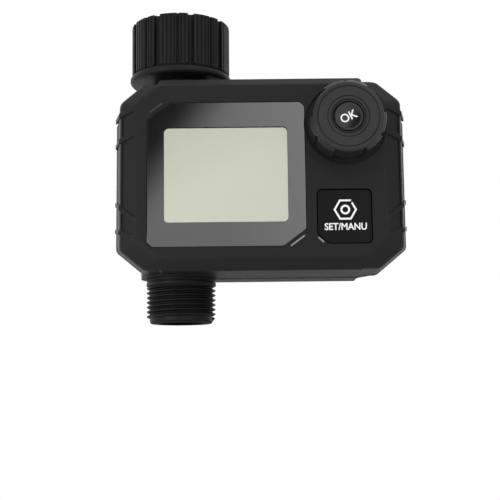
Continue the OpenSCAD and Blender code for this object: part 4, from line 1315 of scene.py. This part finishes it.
class TIMER_OT_set_key(PieceOperator):
    """Build the square key with its sign and word"""

    bl_idname = "timer.set_key"
    bl_label = "SET/MANU key"

    def execute(self, context):
        face = KEY_LO.y
        base = solid(slab(key_outline(KEY_SIDE), face, KEY_HI.y - 0.6, KEY_CORNER, 6))
        soften(base, face, 0.55, 4)
        add(base, slab(key_outline(KEY_FLANGE), KEY_HI.y - 1.1, KEY_HI.y, KEY_CORNER, 6))
        finish_piece(base, "key_cap", "set_key", key_plastic(), ["set_key"])
        ink = face - 0.03
        letters = word("SET/MANU", height=2.6, width=15.3, bold=0.02)
        bmesh.ops.translate(letters, verts=letters.verts, vec=(KEY_X + 0.32, ink, KEY_Z - 3.75))
        base = solid(thicken(letters, 0, INK, 0))
        finish_piece(base, "key_word", "set_key", legend_paint())
        # a six-sided ring, open at its upper right corner, round a small ring
        x, z = KEY_X + 0.28, KEY_Z + 2.45
        base = solid(hexagon(4.28, ink, ink + INK, x, z))
        carve(base, hexagon(3.5, ink - 1, ink + 1, x, z))
        gap = block(2.6, 6.0, ink - 1, ink + 1, -0.34, 0.34)
        turn = Matrix.Translation((x, 0, z)) @ Matrix.Rotation(radians(-53), 4, "Y")
        bmesh.ops.transform(gap, verts=gap.verts, matrix=turn)
        carve(base, gap)
        ring = [(1.05, ink), (1.78, ink), (1.78, ink + INK), (1.05, ink + INK)]
        base = solid(joined(taken(base), lathe(ring, "Y", (x, z), 48)))
        finish_piece(base, "key_sign", "set_key", legend_paint())
        return {"FINISHED"}


# Where the fine flutes lie on a lobe of the nut, as shares of its width
FLUTES = (0.19, 0.31, 0.43, 0.53, 0.72, 0.82)


def nut_cutters(low, sizes):
    """Rods that cut the nut's deep grooves, a lesser one on each lobe and the fine flutes."""
    # each cut: its place as a share of the lobe's width, its rod's radius and its depth
    cuts = [(0, 1.4, sizes.groove), (0.62, 0.62, 1.0)]
    cuts += [(share, 0.32, sizes.flute) for share in FLUTES]
    rods = []
    for k in range(sizes.lobes):
        for share, radius, depth in cuts:
            angle = radians(-74.5) + (k + share) * TURN / sizes.lobes
            out = sizes.nut_r - depth + radius
            spot = (out * cos(angle), out * sin(angle))
            rods.append(rod("Z", radius, low, 1, spot, 20))
    return joined(*rods)


class TIMER_OT_inlet_nut(PieceOperator):
    """Build the swivel nut with its lobes, flange and inside thread"""

    bl_idname = "timer.inlet_nut"
    bl_label = "Inlet nut"

    def execute(self, context):
        sizes = Sizes("timer_pipe")
        low = NUT_LO.z
        flange_top = low + 2.8
        wall = sizes.nut_r
        base = solid(lathe([
            (0, flange_top - 1), (wall - 0.6, flange_top - 1), (wall - 0.6, flange_top + 0.35),
            (wall - 0.05, flange_top + 0.9), (wall, -0.8), (wall - 0.06, -0.3),
            (wall - 0.22, -0.06), (wall - 0.55, 0), (0, 0),
        ], steps=180))
        carve(base, nut_cutters(flange_top + 0.4, sizes))
        rim = NUT_HI.x
        add(base, lathe([
            (0, low), (rim - 1.5, low), (rim - 0.7, low + 0.2), (rim - 0.2, low + 0.7),
            (rim, low + 1.1), (rim, flange_top - 0.8), (rim - 0.25, flange_top - 0.3),
            (rim - 0.8, flange_top), (0, flange_top),
        ], steps=144))
        carve(base, lathe([
            (0, -12.3), (12.72, -12.3), (12.72, low + 4), (10.8, low + 4), (10.8, low + 0.4),
            (11.2, low - 0.01), (11.2, low - 1), (0, low - 1),
        ], steps=128))
        carve(base, lathe([
            (0, 1), (THREAD_R + 1.1, 1), (THREAD_R + 0.1, 0), (THREAD_ROOT_R, -1.1),
            (THREAD_ROOT_R, -12.8), (0, -12.8),
        ], steps=128))
        inner, crest = THREAD_ROOT_R - 0.3, THREAD_ROOT_R + sizes.thread_depth
        half = THREAD_PITCH * 0.46
        tooth = [(inner, -half), (crest, -0.12), (crest, 0.12), (inner, half)]
        carve(base, helix(tooth, z0=-12.2, turns=7.2))
        finish_piece(
            base, "nut_swivel", "nut", pipe_plastic(), ["inlet_nut"], smooth=28
        )
        return {"FINISHED"}


class TIMER_OT_outlet(PieceOperator):
    """Build the outlet spigot with its collar and helical thread"""

    bl_idname = "timer.outlet"
    bl_label = "Outlet"

    def execute(self, context):
        sizes = Sizes("timer_pipe")
        low, high = OUTLET_LO.z, OUTLET_HI.z
        collar = CASE_B - 2.8
        plug_low = CASE_B + 9.4
        root = THREAD_ROOT_R
        seal = plug_low + 4
        base = solid(lathe([
            (9.35, low), (root - 0.75, low), (root - 0.3, low + 0.18), (root - 0.05, low + 0.6),
            (root, low + 1.0), (root, collar), (13.15, collar), (13.4, collar + 0.22),
            (13.4, collar + 1.25), (12.95, collar + 1.45), (12.95, collar + 1.75),
            (13.4, collar + 1.95), (13.4, CASE_B - 0.05), (12.4, CASE_B - 0.05),
            (12.4, plug_low), (9.75, plug_low), (9.75, seal), (8.75, seal), (8.75, seal + 1.6),
            (9.75, seal + 1.6), (9.75, high), (7.6, high), (7.6, CASE_B), (9.0, CASE_B),
            (9.0, low + 0.35),
        ], steps=144))
        crest = root + sizes.thread_depth
        half = THREAD_PITCH * 0.44
        tooth = [(root - 0.4, -half - 0.2), (root, -half), (crest, -0.17),
                 (crest, 0.17), (root, half), (root - 0.4, half + 0.2)]
        ridge = solid(helix(tooth, z0=low + 1.75, turns=7.6))
        taper = lathe([
            (0, low + 0.9), (root + 0.1, low + 0.9), (crest, low + 2.3),
            (crest + 1, low + 2.3), (crest + 1, collar + 0.3), (0, collar + 0.3),
        ], steps=144)
        carve(ridge, taper, "INTERSECT")
        add(base, taken(ridge))
        finish_piece(
            base, "outlet_spigot", "case", pipe_plastic(), ["valve_outlet"],
            smooth=28
        )
        return {"FINISHED"}


class TIMER_OT_battery_door(PieceOperator):
    """Build the hinged battery door with its grip, rim and knuckle"""

    bl_idname = "timer.battery_door"
    bl_label = "Battery door"

    def execute(self, context):
        back = BACK_Y + 0.3
        face = back + 2.0
        left, right = DOOR_LO.x, DOOR_HI.x
        lap = BAY_L - left
        bottom, top = BAY_B - lap, BAY_T + lap
        middle = ((left + right) / 2, (bottom + top) / 2)
        cut, small = (4.6, 4.6), (2, 2)
        outline = moved(cut_box(right - left, top - bottom, small, cut, cut, small), *middle)
        base = solid(slab(outline, back, face, 0.8))
        soften(base, face, 0.5, 4)
        # a sunk field in its face, the rim inside and the hinge's knuckle
        field = cut_box(right - left - 5, top - bottom - 17, small, small, small, small)
        field = moved(field, middle[0], middle[1] - 4)
        carve(base, slab(field, face - 0.35, face + 2, 0.8))
        gap, rim = 0.45, 1.2
        inner = gap + rim
        edge = solid(block(
            BAY_L + gap, BAY_R - gap, BACK_Y - 2.2, back + 0.5, BAY_B + gap, BAY_T - gap
        ))
        carve(edge, block(
            BAY_L + inner, BAY_R - inner, BACK_Y - 4, back, BAY_B + inner, BAY_T - inner
        ))
        add(base, taken(edge))
        ends = (HINGE_X - HINGE_HALF, HINGE_X + HINGE_HALF)
        add(base, rod("X", HINGE_R, *ends, PIN_SPOT, 48))
        add(base, block(*ends, back, PIN_Y + 1.75, PIN_Z, bottom + 1))
        # the latch's tab at the top, the pin's hole and the finger grooves
        tab = block(*ends, back, face + 1, top - 3, top + 1.2)
        add(base, round_edges(tab, [e for e in tab.edges if lies_at(e, face + 1)], 0.35))
        carve(base, rod("X", 0.94, HINGE_X - 12, HINGE_X + 12, PIN_SPOT, 32))
        for k in range(4):
            z = BAY_T - 12 + 2.4 * k
            carve(base, block(HINGE_X - 9, HINGE_X + 9, face - 0.5, face + 2, z, z + 1))
        finish_piece(
            base, "door_panel", "battery_door", case_plastic(), ["battery_door"]
        )
        return {"FINISHED"}


class TIMER_OT_filter_screen(PieceOperator):
    """Build the woven screen of the inlet filter"""

    bl_idname = "timer.filter_screen"
    bl_label = "Filter screen"

    def execute(self, context):
        radius = (MESH_HI.x - MESH_LO.x) / 2
        z = (MESH_LO.z + MESH_HI.z) / 2
        wire_r, pitch = 0.07, 0.75
        count = int(radius / pitch)
        strands = []
        for k in range(-count, count + 1):
            off = k * pitch
            half = sqrt(max(radius ** 2 - off ** 2, 0.2))
            strands.append(rod("X", wire_r, -half, half, (off, z + wire_r * 0.8), 6))
            strands.append(rod("Y", wire_r, -half, half, (off, z - wire_r * 0.8), 6))
        inner, low, high = radius - 0.35, z - 0.14, z + 0.14
        rim = [(inner, low), (radius, low), (radius, high), (inner, high)]
        strands.append(lathe(rim, steps=64))
        base = solid(joined(*strands))
        finish_piece(base, "filter_screen", "case", steel(), ["filter_mesh"])
        return {"FINISHED"}


# The finish of each carried-over CAD node but the cells
INNER_FINISHES = (
    (rubber_black, "case_gasket lcd_connector key_boot knob_seal"),
    (rubber_black, "battery_seal stem_seal outlet_seal"),
    (steel, "case_screws board_screws set_switch encoder_body encoder_shaft door_pin motor"),
    (steel, "battery_springs battery_plates motor_shaft idler_axle valve_stem nut_clip"),
    (white_plastic, "lcd_frame gearbox_plate gearbox_cover"),
    (chip_black, "board_chips ok_switch"),
    (lead_sleeve, "battery_leads motor_leads"),
    (gear_resin, "idler_gear output_gear"),
    (seat_resin, "upper_seat lower_seat"),
    (display_film, "lcd_panel"), (board_green, "circuit_board"), (brass, "motor_pinion"),
    (chrome_ball, "valve_ball"), (pipe_plastic, "valve_body"),
    (clear_silicone, "sealing_washer"), (filter_yellow, "filter_ring"),
)


class TIMER_OT_inner_works(PieceOperator):
    """Give every carried-over CAD piece its finish"""

    bl_idname = "timer.inner_works"
    bl_label = "Finishes of the inner works"

    def execute(self, context):
        cell_lo, cell_hi = span("battery_left")
        made = {node: look() for look, nodes in INNER_FINISHES for node in nodes.split()}
        wrap = cell_wrap(round(cell_lo.z, 2), round(cell_hi.z, 2))
        made["battery_left"] = made["battery_right"] = wrap
        replaced = {
            "front_shell", "rear_shell", "trim_bars", "display_window", "knob", "knob_face",
            "ok_cap", "set_key", "inlet_nut", "valve_outlet", "battery_door", "filter_mesh",
        }
        for node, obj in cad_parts.items():
            if node in replaced:
                continue
            if node not in made:
                raise RuntimeError(f"no finish for {node}")
            if not obj.material_slots:
                obj.data.materials.append(made[node])
            for slot in obj.material_slots:
                slot.material = made[node]
        return {"FINISHED"}


class TIMER_OT_stage(PieceOperator):
    """Set up the floor, the studio light and the camera"""

    bl_idname = "timer.stage"
    bl_label = "Stage"

    def execute(self, context):
        self.floor()
        self.world(context)
        self.lamps()
        self.camera(context)
        context.scene.view_settings.view_transform = "Standard"
        return {"FINISHED"}

    def floor(self):
        """A pale floor that the camera sees only from above, and that keeps the shadow."""
        bm = bmesh.new()
        bmesh.ops.create_circle(bm, cap_ends=True, segments=64, radius=4)
        bmesh.ops.translate(bm, verts=bm.verts, vec=(0, 0, CAD_BOX[0][2] - 0.1 * MM))
        mesh = bpy.data.meshes.new("floor")
        bm.to_mesh(mesh)
        bm.free()
        obj = put("floor", mesh)
        made = bpy.data.materials.new("floor_paper")
        made.use_nodes = True
        f = Finish(made.node_tree)
        rays = f.add("ShaderNodeLightPath")
        seen = rays["Is Camera Ray"].bigger(rays["Is Transmission Ray"])
        paper = f.blend(f.noise(60, 3), (0.80, 0.80, 0.80), (0.82, 0.82, 0.82))
        matt = f.add("ShaderNodeBsdfDiffuse", inputs={"Color": paper})[0]
        strength = seen * 0.16 + 0.18 + rays["Is Glossy Ray"] * 0.02
        glow = f.add("ShaderNodeEmission", inputs={"Strength": strength})[0]
        lit = f.add("ShaderNodeAddShader", inputs={0: matt, 1: glow})[0]
        clear = f.add("ShaderNodeBsdfTransparent")[0]
        under = f.add("ShaderNodeNewGeometry")["Backfacing"] * rays["Is Camera Ray"]
        mixed = f.add("ShaderNodeMixShader", inputs={0: under, 1: lit, 2: clear})[0]
        f.add("ShaderNodeOutputMaterial", inputs={"Surface": mixed})
        obj.data.materials.append(made)

    def world(self, context):
        """White to the camera; for gloss to mirror, a bright room with darker places."""
        world = bpy.data.worlds.new("studio")
        context.scene.world = world
        world.use_nodes = True
        f = Finish(world.node_tree)
        rays = f.add("ShaderNodeLightPath")
        way = f.add("ShaderNodeTexCoord")["Generated"]
        parts = f.add("ShaderNodeSeparateXYZ", inputs={0: way})
        x, y, z = parts["X"], parts["Y"], parts["Z"]
        # a slanting grey zone in front, which the window mirrors
        rise = x * -0.796 + z * 0.605
        zone = rise.step(0.17, 0.22) * (1 - rise.step(0.45, 0.6)) * (-y).step(0.5, 0.8)
        # darker at both sides and high behind, brighter from the middle to the right and upwards
        near = 1 - y.step(0.0, 0.35)
        left = (-x).step(0.45, 0.8) * near
        right = x.step(0.5, 0.75)
        top = z.step(0.5, 0.8) * y.step(0.1, 0.4)
        soft = x.bigger(-0.02).smaller(0.1) * 3.6 + z.bigger(0.0).smaller(0.3)
        mirrored = (1.03 + soft) * (1 - zone * 0.95) * (1 - left * 0.45)
        mirrored = mirrored * (1 - right * 0.6) * (1 - top * 0.6)
        seen = rays["Is Camera Ray"].bigger(rays["Is Transmission Ray"])
        glossy = rays["Is Glossy Ray"]
        rest = 1 - seen
        strength = seen + rest * (glossy * mirrored + (1 - glossy) * 0.55)
        shade = f.add("ShaderNodeBackground", inputs={"Color": (1, 1, 1, 1), "Strength": strength})
        f.add("ShaderNodeOutputWorld", inputs={"Surface": shade[0]})

    def lamps(self):
        """Two broad soft lamps from above, and a small one low in front, to the left."""
        for name, way, strength in (
            ("lamp_left", (0.5, 0.78, -0.75), 1.3), ("lamp_right", (-0.6, 0.75, -0.25), 0.32)
        ):
            lamp = bpy.data.lights.new(name, "SUN")
            lamp.energy = strength
            lamp.angle = radians(50)
            obj = put(name, lamp)
            obj.rotation_euler = Vector(way).to_track_quat("-Z", "Y").to_euler()
            obj.visible_glossy = False
        lamp = bpy.data.lights.new("lamp_low", "AREA")
        lamp.shape = "DISK"
        lamp.size = 0.12
        lamp.energy = 0.22
        obj = put("lamp_low", lamp)
        spot = Vector((KNOB_X - 215, KNOB_Y - 165, KNOB_Z - 62)) * MM
        obj.location = spot
        aim = Vector((MID_X, FRONT_Y, MID_Z)) * MM - spot
        obj.rotation_euler = aim.to_track_quat("-Z", "Y").to_euler()
        obj.visible_camera = False

    def camera(self, context):
        """The front view, from a little below."""
        pitch, roll = radians(7.5), radians(0.6)
        ahead = Vector((0, cos(pitch), sin(pitch)))
        up = Vector((0, -sin(pitch), cos(pitch)))
        right = Vector((1, 0, 0))
        turned_right = right * cos(roll) - up * sin(roll)
        turned_up = up * cos(roll) + right * sin(roll)
        place = Matrix((turned_right, turned_up, -ahead)).transposed().to_4x4()
        place.translation = Vector((26.7, -385.0, -139.8)) * MM
        lens = bpy.data.cameras.new("camera")
        lens.lens = 72
        lens.sensor_width = 36
        lens.clip_start = 0.01
        obj = put("camera", lens)
        obj.matrix_world = place
        context.scene.camera = obj


class TIMER_PT_sidebar(bpy.types.Panel):
    """Lists the timer's pieces and its sizes"""

    bl_idname = "TIMER_PT_sidebar"
    bl_label = "Drip irrigation timer"
    bl_space_type = "VIEW_3D"
    bl_region_type = "UI"
    bl_category = "Timer"

    def draw(self, context):
        column = self.layout.column(align=True)
        for operator in OPERATORS:
            column.operator(operator.bl_idname)
        for group in GROUPS:
            for name in GROUPS[group].__annotations__:
                self.layout.prop(getattr(context.scene, group), name)


GROUPS = {
    "timer_case": TimerCaseSizes,
    "timer_knob": TimerKnobSizes,
    "timer_pipe": TimerPipeSizes,
    "timer_colours": TimerColours,
}

OPERATORS = (
    TIMER_OT_case_front, TIMER_OT_case_rear, TIMER_OT_seam_and_trim, TIMER_OT_window,
    TIMER_OT_knob, TIMER_OT_ok_cap, TIMER_OT_set_key, TIMER_OT_inlet_nut, TIMER_OT_outlet,
    TIMER_OT_battery_door, TIMER_OT_filter_screen, TIMER_OT_inner_works, TIMER_OT_stage,
)


def register():
    for group, sizes in GROUPS.items():
        bpy.utils.register_class(sizes)
        setattr(bpy.types.Scene, group, bpy.props.PointerProperty(type=sizes))
    for operator in OPERATORS:
        bpy.utils.register_class(operator)
    bpy.utils.register_class(TIMER_PT_sidebar)


def unregister():
    bpy.utils.unregister_class(TIMER_PT_sidebar)
    for operator in reversed(OPERATORS):
        bpy.utils.unregister_class(operator)
    for group, sizes in reversed(GROUPS.items()):
        delattr(bpy.types.Scene, group)
        bpy.utils.unregister_class(sizes)


def main():
    register()
    for operator in OPERATORS:
        section, name = operator.bl_idname.split(".")
        getattr(getattr(bpy.ops, section), name)()


if __name__ == "__main__":
    main()
